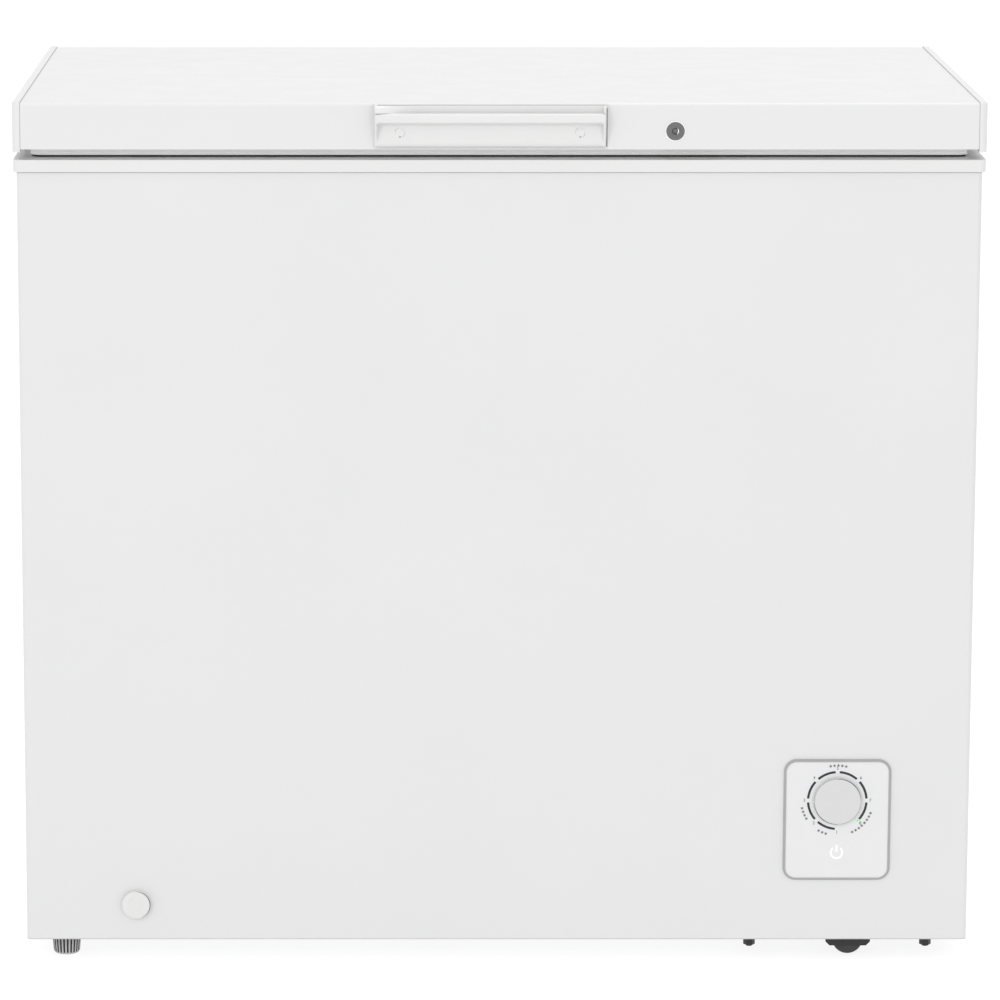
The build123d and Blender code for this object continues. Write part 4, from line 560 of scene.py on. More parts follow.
def lid_seal():
    """Soft folded seal, with a black strip of painted shadow under its lip."""
    low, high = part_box("lid_gasket")
    path = loop_points(low, high, SEAL_CORNER)
    base, foot = high.z, low.z
    folds = [
        (0.0, base), (0.0, base - 2.4 * MM), (0.9 * MM, base - 3.0 * MM), (2.2 * MM, base - 3.4 * MM),
        (2.8 * MM, base - 4.0 * MM), (2.2 * MM, base - 4.7 * MM), (1.2 * MM, base - 5.4 * MM),
        (1.0 * MM, base - 6.2 * MM), (1.4 * MM, base - 7.0 * MM), (2.4 * MM, base - 7.4 * MM),
        (2.4 * MM, base - 7.8 * MM), (0.8 * MM, base - 8.2 * MM), (0.6 * MM, foot + SEAL_LIP + 0.6 * MM),
        (1.0 * MM, foot + SEAL_LIP), (11.6 * MM, foot + SEAL_LIP), (12.0 * MM, base - 8.2 * MM),
        (12.8 * MM, base - 6.2 * MM), (11.2 * MM, base - 4.4 * MM), (13.8 * MM, base - 3.0 * MM),
        (14.0 * MM, base),
    ]
    seal = piece("lid_seal", swept_loop(path, folds), "lid", "gasket_rubber")
    sharpen(seal, 50.0)
    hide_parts("lid_gasket")
    # the strip below is painted shadow in the gap between the seal's lip and the rim
    strip = [
        (2.2 * MM, foot + SEAL_LIP), (2.4 * MM, foot + 0.3 * MM), (3.0 * MM, foot),
        (10.4 * MM, foot), (11.0 * MM, foot + 0.3 * MM), (11.2 * MM, foot + SEAL_LIP),
    ]
    shadow_piece = piece("seal_shadow_strip", swept_loop(path, strip), "lid", "gasket_rubber", SEAL_SHADOW)
    sharpen(shadow_piece)


# ---- screws and caps -----------------------------------------------------------------
def cross_recess(arm, half_width):
    """Distance from the middle to the edge of a plus-shaped recess, by angle."""

    def reach(angle):
        c, s = max(abs(math.cos(angle)), 1e-6), max(abs(math.sin(angle)), 1e-6)
        return max(min(arm / c, half_width / s), min(arm / s, half_width / c))

    return reach


def pan_head(radius, height):
    wide = cross_recess(0.58 * radius, 0.15 * radius)
    narrow = cross_recess(0.40 * radius, 0.09 * radius)
    sections = [
        (0.98 * radius, 0.0), (radius, 0.15 * height), (0.97 * radius, 0.45 * height),
        (0.86 * radius, 0.78 * height), (0.68 * radius, 0.96 * height), (wide, height),
        (narrow, 0.35 * height),
    ]
    return turned(sections, 48, (0.0, 1.0, 0.0))


def screw_heads(name, source, body, at_back):
    """Cross-recessed heads where a node's screws are driven in from behind."""
    boxes = [box for box in islands(source) if box[1].y > at_back]
    radius = (boxes[0][1].x - boxes[0][0].x) / 2
    depth = 1.8 * MM
    places = [((lo.x + hi.x) / 2, hi.y - depth, (lo.z + hi.z) / 2) for lo, hi in boxes]
    heads = piece(name, scattered(pan_head(radius, depth), places), body, "zinc_steel")
    sharpen(heads, 30.0)
    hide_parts(source)


CAP_PROUD = 0.6 * MM
CAP_NOTCH = 1.0 * MM
CAP_NOTCH_R = 0.78  # how far out the notch's floor lies, as a share of the cap's radius
CAP_NOTCH_ANGLE = 11.0
CAP_RIM = 0.93  # middle of the shaded rim, as a share of the radius


def handle_caps():
    """Push-in covers over the handle's screws, with a pick notch at the lower edge."""
    boxes = islands("handle_screw_caps")
    low, high = boxes[0]
    radius, depth = (high.x - low.x) / 2, high.y - low.y
    notch_half = math.radians(CAP_NOTCH_ANGLE)

    def edge(share):
        def reach(angle):
            down = abs((angle - 1.5 * math.pi + math.pi) % math.tau - math.pi)
            return CAP_NOTCH_R * radius if down < notch_half else share * radius

        return reach

    sections = [
        (radius, 0.0), (edge(1.0), 0.35 * depth), (edge(0.97), 0.62 * depth), (edge(0.90), 0.78 * depth),
        (0.72 * radius, 0.86 * depth), (0.68 * radius, 0.80 * depth), (0.60 * radius, 0.78 * depth),
        (0.52 * radius, 0.90 * depth), (0.30 * radius, 0.97 * depth), (0.05 * radius, depth),
    ]
    places = [((lo.x + hi.x) / 2, hi.y - CAP_PROUD, (lo.z + hi.z) / 2) for lo, hi in boxes]
    shape = scattered(turned(sections, 96), places)
    caps = piece("handle_caps", shape, "lid", "handle_plastic")
    sharpen(caps, 40.0)
    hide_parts("handle_screw_caps")
    # painted shade: a grey ring on each cap's rim, widest at two opposite sides
    for index, (x, base, z) in enumerate(places):
        face = Vector((x, base - 0.60 * depth, z))
        inlay_ring(
            f"handle_cap_edge_shade_{index}", face, CAP_RIM * radius, lobes(0.12, 0.50, 150.0, 2),
            SEAM_AND_SHADE_LINE, "lid", "handle_plastic",
        )
    # painted shadow: a near-black block in each cap's pick notch
    half, lowest = CAP_NOTCH / 2, 0.98 * radius
    notch_shadows = [
        ((x - half, base - 0.9 * depth, z - lowest), (x + half, base, z - lowest + CAP_NOTCH))
        for x, base, z in places
    ]
    piece("handle_cap_notch_shadows", slabs(notch_shadows), "lid", "handle_plastic", EDGE_SHADE, smooth=False)


# ---- dial print ----------------------------------------------------------------------
PRINT_T = 0.06 * MM
RING_W = 2.3 * MM
RING_ARC = 37.0
RING_STEPS = 20
POSITIONS = 8
STEP = 45.0
FIRST = 270.0  # position 1 is straight down and the numbers run clockwise
NUMBER_R = 32.3 * MM
NUMBER_H = 3.2 * MM
FONT_PER_HEIGHT = 1.38  # font size over the height of a number
SYMBOL_R = 35.2 * MM
SYMBOL_SIZE = 1.5 * MM
SYMBOL_STEP = 6.2
COLD_MARKS = ((246.0, 3), (202.0, 4), (89.0, 5), (-43.0, 8))  # middle angle, number of symbols


def dial_middle():
    low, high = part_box("thermostat_knob")
    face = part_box("dial_label")[0].y
    return Vector(((low.x + high.x) / 2, face, (low.z + high.z) / 2))


def around(middle, radius, degrees):
    angle = math.radians(degrees)
    return middle + Vector((radius * math.cos(angle), 0.0, radius * math.sin(angle)))


def raised(outline, middle):
    """A flat outline of (x, z) points, as a print standing on the label."""
    count = len(outline)
    vertices = [middle + Vector((x, -PRINT_T, z)) for x, z in outline]
    vertices += [middle + Vector((x, 0.0, z)) for x, z in outline]
    faces = [tuple(range(count)), tuple(range(count, 2 * count))[::-1]]
    for index in range(count):
        after = (index + 1) % count
        faces.append((index, index + count, after + count, after))
    return vertices, faces


def dial_ring(middle):
    """The broken ring round the knob, one stroke between each two positions."""
    lamp_low, lamp_high = islands("position_lamps")[0]
    lamp = Vector(((lamp_low.x + lamp_high.x) / 2, middle.y, (lamp_low.z + lamp_high.z) / 2))
    radius = (lamp - middle).length
    steps = RING_STEPS
    strokes = []
    for stroke in range(POSITIONS - 1):
        centre = FIRST - STEP * (stroke + 0.5)
        angles = [math.radians(centre + RING_ARC * (k / steps - 0.5)) for k in range(steps + 1)]
        outer, inner = radius + RING_W / 2, radius - RING_W / 2
        outline = [(outer * math.cos(a), outer * math.sin(a)) for a in angles]
        outline += [(inner * math.cos(a), inner * math.sin(a)) for a in reversed(angles)]
        strokes.append(raised(outline, middle))
    piece("dial_ring", merged(strokes), "cabinet", "label_film", DIAL_INK, smooth=False)


def dial_numbers(middle):
    for number in range(1, POSITIONS + 1):
        text = bpy.data.curves.new("number", "FONT")
        text.body = str(number)
        text.size = NUMBER_H * FONT_PER_HEIGHT
        text.align_x, text.align_y = "CENTER", "CENTER"
        text.extrude = PRINT_T / 2
        place = around(middle, NUMBER_R, FIRST - STEP * (number - 1)) - Vector((0, PRINT_T / 2, 0))
        mesh = meshed("number", text, NUMBER_INK)
        upright = (math.pi / 2, 0.0, 0.0)
        mounted(f"dial_number_{number}", mesh, "cabinet", place, upright)


def frost_star(size):
    """Outline of a six-armed star."""
    outline = []
    for arm in range(6):
        for turn, reach in ((-9.0, 1.0), (9.0, 1.0), (30.0, 0.30)):
            angle = math.radians(30.0 + arm * 60.0 + turn)
            outline.append((size * reach * math.cos(angle), size * reach * math.sin(angle)))
    return outline


def cold_marks(middle):
    """Rows of stars round the ring: more stars, colder storage."""
    marks = []
    for centre, count in COLD_MARKS:
        for index in range(count):
            angle = centre + SYMBOL_STEP * (index - (count - 1) / 2)
            marks.append(raised(frost_star(SYMBOL_SIZE), around(middle, SYMBOL_R, angle)))
    piece("cold_marks", merged(marks), "cabinet", "label_film", SYMBOL_INK, smooth=False)


def dial_lamps(middle):
    """Small domed lenses; the one at the last position is lit."""
    lit_at = around(middle, 1.0, FIRST - STEP * (POSITIONS - 1)) - middle
    boxes = islands("position_lamps")
    boxes.sort(key=lambda box: -((box[0] + box[1]) / 2 - middle).dot(lit_at))
    for index, (low, high) in enumerate(boxes):
        radius, depth = (high.x - low.x) / 2, high.y - low.y
        sections = [
            (radius, 0.0), (radius, 0.90 * depth), (0.94 * radius, 0.94 * depth),
            (0.75 * radius, 0.975 * depth), (0.45 * radius, 0.995 * depth), (0.10 * radius, depth),
        ]
        shape = moved(turned(sections, 32), back_middle(low, high))
        material = LIT_LAMP if index == 0 else None
        lens = piece(f"dial_lamp_{index + 1}", shape, "cabinet", "lamp_plastic", material)
        sharpen(lens, 60.0)
        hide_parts("position_lamps")


# ---- thin lines ----------------------------------------------------------------------
GAP_H = 1.0 * MM
HEM_H = 0.8 * MM
LINE_OUT = 0.06 * MM
LINE_IN = 0.4 * MM
SHEET_CORNER = 5.0 * MM


def sheet_lines():
    """A painted shadow line under the rim frame, and painted shade along the folded lower edge of the
    cabinet sheet.
    """
    low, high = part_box("cabinet_wrap")
    path = loop_points(low, high, SHEET_CORNER)
    # the first line is painted shadow under the rim frame, the second painted shade along the folded
    # lower edge
    for name, z0, z1, material in (
        ("rim_shadow_line", high.z - GAP_H, high.z, SEAM_AND_SHADE_LINE),
        ("cabinet_hem_shade", low.z, low.z + HEM_H, HEM_SHADE),
    ):
        outline = [(-LINE_OUT, z0), (-LINE_OUT, z1), (LINE_IN, z1), (LINE_IN, z0)]
        line = swept_loop(path, outline)
        piece(name, line, "cabinet", "gasket_rubber", material, smooth=False)


# ---- handle --------------------------------------------------------------------------
HANDLE_PLATE = 4.0 * MM  # plate's face, in front of the lid
HANDLE_LIP_LOW = 17.5 * MM  # lip's lower edge, below the handle's top
HANDLE_CEILING = 12.5 * MM  # pocket's ceiling, below the handle's top
HANDLE_CORNER = 4.0 * MM  # pocket's rounded upper corners
HANDLE_END = 2.6 * MM  # closed ends beside the pocket
BAND_FADE = 34 * MM  # length over which the band dies out at its left end
BAND_TOP = 0.36  # how far forward the band's upper edge stands, as a share of the lip's reach
LIP_T = 3.0 * MM
PLATE_ROWS = 12
END_ROUND = 1.6 * MM  # the ends round off over this length
END_CUT = 0.55  # and lose this share of their reach
CHEEK = 0.9  # how far forward the closed ends stand under the lip
LINE_PROUD = 0.12 * MM
STATIONS = (  # mm from either end, close together where the shape changes
    0.0, 0.3, 0.8, 1.4, 2.0, 2.6, 3.2, 3.9, 4.7, 5.6, 6.6, 8.0, 10, 13, 17, 22, 28, 36, 48, 70
)
BAND_ROWS = (  # mm below the top, reach at the plain end, reach in the scooped band
    (0.0, 0.00, 0.34), (0.5, 0.22, 0.36), (1.6, 0.46, 0.35), (3.0, 0.66, 0.32),
    (5.0, 0.82, 0.27), (7.0, 0.92, 0.22), (8.3, 0.96, 0.20),
)
LIP_ROWS = (  # mm below the top, reach
    (8.7, 0.70), (9.1, 0.90), (10.0, 0.975), (12.0, 1.0), (14.5, 1.0), (16.4, 0.985), (17.2, 0.95)
)


def smooth(value, low, high):
    """0 below low, 1 above high, and an eased step between."""
    t = min(1.0, max(0.0, (value - low) / (high - low)))
    return t * t * (3.0 - 2.0 * t)


def outer_rows(front, plate, top):
    """(y at the plain end, y in the scooped band, z), down from the top edge to the lip."""
    depth = plate - front
    rows = [(plate - plain * depth, plate - scooped * depth, top - down * MM)
            for down, plain, scooped in BAND_ROWS]
    return rows + [(plate - share * depth, plate - share * depth, top - down * MM)
                   for down, share in LIP_ROWS]


def under_rows(front, plate, lip_z, ceiling):
    """(y, z) along the lip's underside and the pocket's ceiling, back to the plate."""
    inner_lip = front + LIP_T
    return [
        (front + 1.2 * MM, lip_z), (inner_lip, lip_z + 0.4 * MM), (inner_lip, lip_z + 2.2 * MM),
        (inner_lip + 1.2 * MM, ceiling - 0.8 * MM), (inner_lip + 3.4 * MM, ceiling),
        (plate - 2.0 * MM, ceiling - 0.2 * MM), (plate, ceiling - 2.0 * MM),
    ]


def pocket_share(side, below_lip):
    """1 in the pocket, 0 on its closed ends, with rounded upper corners."""
    dx = HANDLE_CORNER - (side - HANDLE_END)
    dz = HANDLE_CORNER - below_lip
    corner = math.hypot(dx, dz) if dx > 0.0 and dz > 0.0 else max(dx, dz)
    return smooth(HANDLE_CORNER - corner, -0.2 * MM, 1.8 * MM)


def lofted(rings):
    """Closed sections joined one after another, with both ends closed."""
    size = len(rings[0])
    last = (len(rings) - 1) * size
    ends = [tuple(range(size)), tuple(range(last, last + size))[::-1]]
    return [corner for ring in rings for corner in ring], walls(size, len(rings), flip=True) + ends


def handle_moulding():
    """Grip: a scooped band and a rounded lip over a finger pocket with closed ends."""
    low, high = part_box("handle")
    front, top, bottom = low.y, high.z, low.z
    lid_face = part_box("lid_skin")[0].y
    plate = lid_face - HANDLE_PLATE
    lip_z = top - HANDLE_LIP_LOW
    outer = outer_rows(front, plate, top)
    under = under_rows(front, plate, lip_z, top - HANDLE_CEILING)
    plate_zs = spread(lip_z + 1.0 * MM, bottom + 2.4 * MM, PLATE_ROWS)
    foot = [
        (plate - 0.5 * MM, bottom + 1.6 * MM), (plate - 1.3 * MM, bottom + 1.0 * MM),
        (plate - 1.5 * MM, bottom + 0.3 * MM),
    ]
    span = high.x - low.x
    stations = [step * MM for step in STATIONS] + [span - step * MM for step in reversed(STATIONS)]

    def cheek(z):
        return plate - CHEEK * (plate - front) * smooth(z, bottom, lip_z)

    def section(along):
        side = min(along, span - along)
        edge = 1.0 - smooth(side, 0.0, END_ROUND)
        fade = smooth(along, 0.05 * BAND_FADE, BAND_FADE)
        fade *= smooth(span - along, 2.2 * MM, 4.0 * MM)
        opened = smooth(side - HANDLE_END, HANDLE_CORNER * 0.3, HANDLE_CORNER)
        ring = [(plain + (scooped - plain) * fade, z) for plain, scooped, z in outer]
        end = cheek(lip_z)
        ring += [(end + (y - end) * opened, lip_z + (z - lip_z) * opened) for y, z in under]
        for z in plate_zs:
            held = min(z, lip_z)
            end, share = cheek(held), pocket_share(side, lip_z - held)
            ring.append((end + (plate - end) * share, z if opened > 0.5 else held))
        ring += foot
        ring = [(lid_face - (lid_face - y) * (1.0 - END_CUT * edge * edge), z) for y, z in ring]
        ring += [(lid_face, bottom), (lid_face, top)]
        return [Vector((low.x + along, y, z)) for y, z in ring]

    shape = lofted([section(along) for along in stations])
    grip = piece("handle_moulding", shape, "lid", "handle_plastic")
    sharpen(grip, 50.0)
    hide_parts("handle")
    handle_lines(low, high, lid_face, plate)


def handle_lines(low, high, lid_face, plate):
    """The hairlines over and under the handle, and a painted shadow beside its right-hand end."""
    top, bottom = high.z, low.z
    scoop = plate - BAND_TOP * (plate - low.y)
    upper = (
        (low.x + 3.5 * MM, scoop - LINE_PROUD, top - 1.1 * MM),
        (high.x - 1.2 * MM, scoop + 1.0 * MM, top - 0.5 * MM),
    )
    lower = (
        (low.x + 2.0 * MM, plate - 1.6 * MM, bottom + 0.1 * MM),
        (high.x - 1.5 * MM, plate, bottom + 0.7 * MM),
    )
    lines = slabs([upper, lower])
    piece("handle_lines", lines, "lid", "handle_plastic", SEAM_AND_SHADE_LINE, smooth=False)
    # painted shadow: a near-black strip on the lid beside the handle's right-hand end
    end_shadow = (
        (high.x - 0.3 * MM, lid_face - 0.25 * MM, bottom),
        (high.x + 1.0 * MM, lid_face + MM, top - 5.0 * MM),
    )
    piece("handle_end_shadow", slabs([end_shadow]), "lid", "handle_plastic", EDGE_SHADE, smooth=False)


# ---- lid seams -----------------------------------------------------------------------
SEAM_W = 0.6 * MM
SEAM_PROUD = 0.08 * MM
SEAM_BEND = 3.0 * MM
SEAM_BEND_STEPS = 6


def lid_seams():
    """The hairline joints between the folded lid sheet and its end caps."""
    low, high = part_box("lid_skin")
    path = []
    for y, z, start in ((low.y, high.z, 180.0), (high.y, high.z, 90.0)):
        centre_y = y + SEAM_BEND if start == 180.0 else y - SEAM_BEND
        for step in range(SEAM_BEND_STEPS + 1):
            angle = math.radians(start - 90.0 / SEAM_BEND_STEPS * step)
            out = Vector((0.0, math.cos(angle), math.sin(angle)))
            path.append((Vector((0.0, centre_y, z - SEAM_BEND)) + out * SEAM_BEND, out))
    path.insert(0, (Vector((0.0, low.y, low.z)), Vector((0.0, -1.0, 0.0))))
    path.append((Vector((0.0, high.y, low.z)), Vector((0.0, 1.0, 0.0))))
    vertices, faces = [], []
    for x, inwards in ((low.x, 1.0), (high.x, -1.0)):
        start = len(vertices)
        for place, out in path:
            for across, lift in ((0.0, -1.0), (0.0, 1.0), (1.0, 1.0), (1.0, -1.0)):
                offset = Vector((x + inwards * across * SEAM_W, 0.0, 0.0))
                vertices.append(place + offset + out * (lift * SEAM_PROUD))
        faces += walls(4, len(path), flip=inwards < 0, start=start)
        last = start + (len(path) - 1) * 4
        faces.append(tuple(range(start, start + 4)))
        faces.append(tuple(range(last, last + 4))[::-1])
    piece("lid_seams", (vertices, faces), "lid", "gasket_rubber", SEAM_AND_SHADE_LINE, smooth=False)


# ---- knob and lock -------------------------------------------------------------------
DRAIN_STEM_R = 6.9 * MM
DRAIN_CAP_H = 6.0 * MM
KNOB_RIBS = 72
KNOB_RIB = 0.25 * MM


def knob():
    """Low dial knob: ribbed side, soft front edge, and a faintly dished face."""
    low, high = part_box("thermostat_knob")
    radius, depth = (high.x - low.x) / 2, high.y - low.y

    def ribbed(angle):
        return radius - KNOB_RIB * (0.5 + 0.5 * math.cos(KNOB_RIBS * angle))

    sections = [
        (radius - 1.0 * MM, 0.0), (radius - 1.0 * MM, 0.22 * depth), (ribbed, 0.26 * depth),
        (ribbed, 0.80 * depth), (radius - 0.25 * MM, 0.86 * depth),
        (radius - 0.45 * MM, 0.94 * depth), (radius - 0.9 * MM, 0.985 * depth),
        (radius - 1.5 * MM, depth), (radius - 2.4 * MM, depth), (0.75 * radius, 0.985 * depth),
        (0.45 * radius, 0.97 * depth), (0.12 * radius, 0.965 * depth),
    ]
    place = back_middle(low, high)
    made = piece("dial_knob", moved(turned(sections, KNOB_RIBS * 4), place), "knob", "knob_plastic")
    sharpen(made, 40.0)
    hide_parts("thermostat_knob")
    # painted shadow: a dark ring round the knob's front edge, widest at two opposite sides
    face = Vector((place.x, low.y + 0.25 * MM, place.z))
    inlay_ring(
        "knob_rim_shadow", face, radius - 0.45 * MM, lobes(0.06, 0.55, 48.0, 2), EDGE_SHADE, "knob",
        "knob_plastic",
    )


def drain_cap():
    """Front drain cap: a flat disc with a soft edge and a shallow ring, on its stem."""
    low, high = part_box("drain_dial")
    radius, front = (high.x - low.x) / 2, high.y - low.y
    ring = 0.46 * radius
    sections = [
        (DRAIN_STEM_R, 0.0), (DRAIN_STEM_R, front - DRAIN_CAP_H), (radius, front - DRAIN_CAP_H),
        (radius, front - 1.5 * MM), (radius - 0.2 * MM, front - 0.8 * MM),
        (radius - 0.6 * MM, front - 0.25 * MM), (radius - 1.2 * MM, front),
        (ring + 0.5 * MM, front), (ring + 0.2 * MM, front - 0.10 * MM),
        (ring - 0.2 * MM, front - 0.10 * MM), (ring - 0.5 * MM, front), (0.5 * ring, front),
        (0.05 * ring, front),
    ]
    place = back_middle(low, high)
    made = piece("drain_cap", moved(turned(sections, 144), place), "drain_dial", "drain_plastic")
    sharpen(made, 40.0)
    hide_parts("drain_dial")
    # painted shadow: a dark crescent at the right of the cap's front edge
    face = Vector((place.x, low.y + 0.45 * MM, place.z))
    inlay_ring(
        "drain_cap_edge_shadow", face, radius - 0.60 * MM, lobes(0.02, 0.85, 12.0, 1, 1.0), EDGE_SHADE,
        "drain_dial", "drain_plastic",
    )


KEY_WAY_DEPTH = 1.1 * MM
KEY_HOLE_R = 3.3 * MM
GLINT_FROM = -70.0  # the painted highlight on the key hole's edge starts here, and the next number is how many degrees it covers
GLINT_ARC = 130.0
GLINT_STEPS = 40


def lock_detail():
    """A polished bezel, a painted highlight on the right of the key hole's edge, and the floor of the
    key way.
    """
    NODES["lock_bezel"].data.materials[0] = BEZEL_METAL_AND_GLINT
    low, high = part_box("lock_cylinder")
    box_low, box_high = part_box("lock_housing")
    middle = Vector(((box_low.x + box_high.x) / 2, low.y, (box_low.z + box_high.z) / 2))
    count = GLINT_STEPS
    vertices = []
    for step in range(count + 1):
        angle = math.radians(GLINT_FROM + GLINT_ARC * step / count)
        swell = math.sin(math.pi * step / count)
        width = (0.10 + 0.95 * swell) * MM
        out = Vector((math.cos(angle), 0.0, math.sin(angle)))
        for reach, along in ((0.0, 0.0), (0.0, -0.12), (-width, 0.25), (-width, 0.6)):
            place = middle + out * (KEY_HOLE_R + reach)
            vertices.append(place + Vector((0.0, along * MM, 0.0)))
    faces = walls(4, count + 1) + [(0, 1, 2, 3), tuple(count * 4 + side for side in (3, 2, 1, 0))]
    # painted highlight: a bright crescent along the right of the key hole's edge
    piece("key_hole_glint", (vertices, faces), "lock", "lock_metal", BEZEL_METAL_AND_GLINT)
    sections = [(3.6 * MM, 0.0), (3.6 * MM, 0.3 * MM), (0.4 * MM, 0.35 * MM)]
    floor = middle + Vector((0.0, KEY_WAY_DEPTH, 0.0))
    piece("key_way_floor", moved(turned(sections, 48), floor), "lock", "lock_metal")


# ---- feet ----------------------------------------------------------------------------
FOOT_RIBS = 24
FOOT_GROOVE_DEPTH = 1.0 * MM
STUD_R = 4.9 * MM
THREAD_PITCH = 1.5 * MM
THREAD_DEPTH = 0.55 * MM
PAD_H = 18.0 * MM
PAD_TAPER = 1.5 * MM
PAD_BEVEL_H = 2.0 * MM
GROOVE_SHARE = (0.30, 0.70)  # the groove's part of each rib's pitch


def ribbed(radius, depth):
    """A radius that dips by depth between the foot's ribs."""
    return lambda angle: radius - depth * (0.5 - 0.5 * math.cos(FOOT_RIBS * angle)) ** 2


def pad_sections(wide, narrow):
    return [
        (narrow - 2.4 * MM, 0.0), (narrow - 1.1 * MM, 0.5 * MM),
        (ribbed(narrow - 0.2 * MM, 0.5 * FOOT_GROOVE_DEPTH), PAD_BEVEL_H),
        (ribbed(narrow + 0.2 * MM, FOOT_GROOVE_DEPTH), 2 * PAD_BEVEL_H),
        (ribbed(wide - 0.2 * MM, FOOT_GROOVE_DEPTH), PAD_H - 1.0 * MM),
        (ribbed(wide - 0.8 * MM, 0.2 * MM), PAD_H),
    ]


def stud_sections(height):
    stud, along = [(STUD_R, PAD_H)], PAD_H
    while along + THREAD_PITCH < height:
        stud.append((STUD_R, along + 0.15 * THREAD_PITCH))
        stud.append((STUD_R - THREAD_DEPTH, along + 0.5 * THREAD_PITCH))
        stud.append((STUD_R, along + 0.85 * THREAD_PITCH))
        along += THREAD_PITCH
    return stud + [(STUD_R - 0.8 * MM, height)]


def darken_grooves(pad, centre, inner):
    """Paints the faces between the ribs near black, as painted shade in the grooves."""
    pad.data.materials.append(FOOT_GROOVE_SHADE)
    first, last = GROOVE_SHARE
    for face in pad.data.polygons:
        spot = face.center - centre
        turn = (math.atan2(spot.y, spot.x) * FOOT_RIBS / math.tau) % 1.0
        if first < turn < last and spot.z > PAD_BEVEL_H and spot.xy.length > inner:
            face.material_index = 1


def foot_pads():
    """Ribbed levelling feet on threaded studs."""
    for place in ("front", "rear"):
        source, body = f"levelling_foot_{place}", f"foot_{place}"
        low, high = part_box(source)
        wide = (high.x - low.x) / 2
        narrow = wide - PAD_TAPER
        centre = Vector(((low.x + high.x) / 2, (low.y + high.y) / 2, low.z))
        kinds = (
            ("pad", pad_sections(wide, narrow), FOOT_RIBS * 8, "foot_plastic"),
            ("stud", stud_sections(high.z - low.z), 48, "zinc_steel"),
        )
        for name, sections, count, slot in kinds:
            shape = moved(turned(sections, count, (0.0, 0.0, 1.0)), centre)
            made = piece(f"{body}_{name}", shape, body, slot)
            sharpen(made, 40.0)
            if name == "pad":
                darken_grooves(made, centre, narrow - 2.0 * MM)
            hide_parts(source)


# ---- basket --------------------------------------------------------------------------
BASKET_RIM_R = 2.5 * MM
BASKET_WIRE_R = 1.5 * MM
BASKET_CORNER = 16 * MM
BASKET_BEND = 9 * MM
BASKET_LENGTHWAYS = 11
BASKET_CROSSWAYS = 6
BASKET_RINGS = 3
HANGER_HALF = 60 * MM
HANGER_BEND = 6 * MM
BASKET_SIDE_GAP = 21.1 * MM  # from the hangers' seats to the basket's rim


def rounded_path(points, radius, closed=False, steps=6):
    """The points with each corner turned into an arc of the radius."""
    path = []
    count = len(points)
    for index, point in enumerate(points):
        if not closed and index in (0, count - 1):
            path.append(point)
            continue
        before, after = points[index - 1], points[(index + 1) % count]
        back, ahead = (before - point).normalized(), (after - point).normalized()
        half = back.angle(ahead) / 2
        trim = radius / math.tan(half)
        centre = point + (back + ahead).normalized() * (radius / math.sin(half))
        first, last = point + back * trim - centre, point + ahead * trim - centre
        turns = [first.slerp(last, step / steps) for step in range(steps + 1)]
        path += [centre + turn.normalized() * radius for turn in turns]
    return path


def wires(name, runs, body, slot):
    """Round wires along (path, radius, closed), as one mesh."""
    curve = bpy.data.curves.new(name, "CURVE")
    curve.dimensions = "3D"
    curve.bevel_depth = 1.0
    curve.bevel_resolution = 3
    curve.use_fill_caps = True
    for path, radius, closed in runs:
        spline = curve.splines.new("POLY")
        spline.points.add(len(path) - 1)
        for point, place in zip(spline.points, path):
            point.co = (*place, 1.0)
            point.radius = radius
        spline.use_cyclic_u = closed
    mesh = meshed(name, curve, MATERIALS[slot])
    for face in mesh.polygons:
        face.use_smooth = True
    return mounted(name, mesh, body)


def basket_wires():
    """The hanging basket in bent and welded wire."""
    low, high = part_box("basket")
    rim_z = high.z - 3 * BASKET_RIM_R
    hang_z = high.z - BASKET_RIM_R
    floor_z = low.z + BASKET_WIRE_R
    x0, x1 = low.x + BASKET_RIM_R, high.x - BASKET_RIM_R
    seat_front, seat_back = low.y + BASKET_RIM_R, high.y - BASKET_RIM_R
    inset = BASKET_RIM_R + BASKET_WIRE_R
    y0, y1 = seat_front + BASKET_SIDE_GAP, seat_back - BASKET_SIDE_GAP
    runs = []

    def ring(grow, z, radius):
        corners = [
            Vector((x0 - grow, y0 - grow, z)), Vector((x1 + grow, y0 - grow, z)),
            Vector((x1 + grow, y1 + grow, z)), Vector((x0 - grow, y1 + grow, z)),
        ]
        runs.append((rounded_path(corners, BASKET_CORNER, closed=True), radius, True))

    ring(0.0, rim_z, BASKET_RIM_R)
    for z in spread(floor_z, rim_z, BASKET_RINGS + 2)[1:-1]:
        ring(BASKET_WIRE_R - BASKET_RIM_R + 0.4 * MM, z, BASKET_WIRE_R)
    xa, xb, ya, yb = x0 + inset, x1 - inset, y0 + inset, y1 - inset
    for x in spread(xa + BASKET_CORNER, xb - BASKET_CORNER, BASKET_CROSSWAYS):
        heights = ((ya, rim_z), (ya, floor_z), (yb, floor_z), (yb, rim_z))
        corners = [Vector((x, y, z)) for y, z in heights]
        runs.append((rounded_path(corners, BASKET_BEND), BASKET_WIRE_R, False))
    lift = floor_z + 2 * BASKET_WIRE_R - 0.2 * MM
    for y in spread(ya + BASKET_CORNER, yb - BASKET_CORNER, BASKET_LENGTHWAYS):
        heights = ((xa, rim_z), (xa, lift), (xb, lift), (xb, rim_z))
        corners = [Vector((x, y, z)) for x, z in heights]
        runs.append((rounded_path(corners, BASKET_BEND), BASKET_WIRE_R, False))
    middle = (x0 + x1) / 2
    for rim, seat in ((y0, seat_front), (y1, seat_back)):
        inward = rim + (rim - seat) * 0.2
        corners = [
            Vector((middle - HANGER_HALF, inward, hang_z)), Vector((middle - HANGER_HALF, seat, hang_z)),
            Vector((middle + HANGER_HALF, seat, hang_z)), Vector((middle + HANGER_HALF, inward, hang_z)),
        ]
        runs.append((rounded_path(corners, HANGER_BEND), BASKET_RIM_R, False))
    made = wires("basket_wires", runs, "basket", "basket_wire")
    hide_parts("basket")


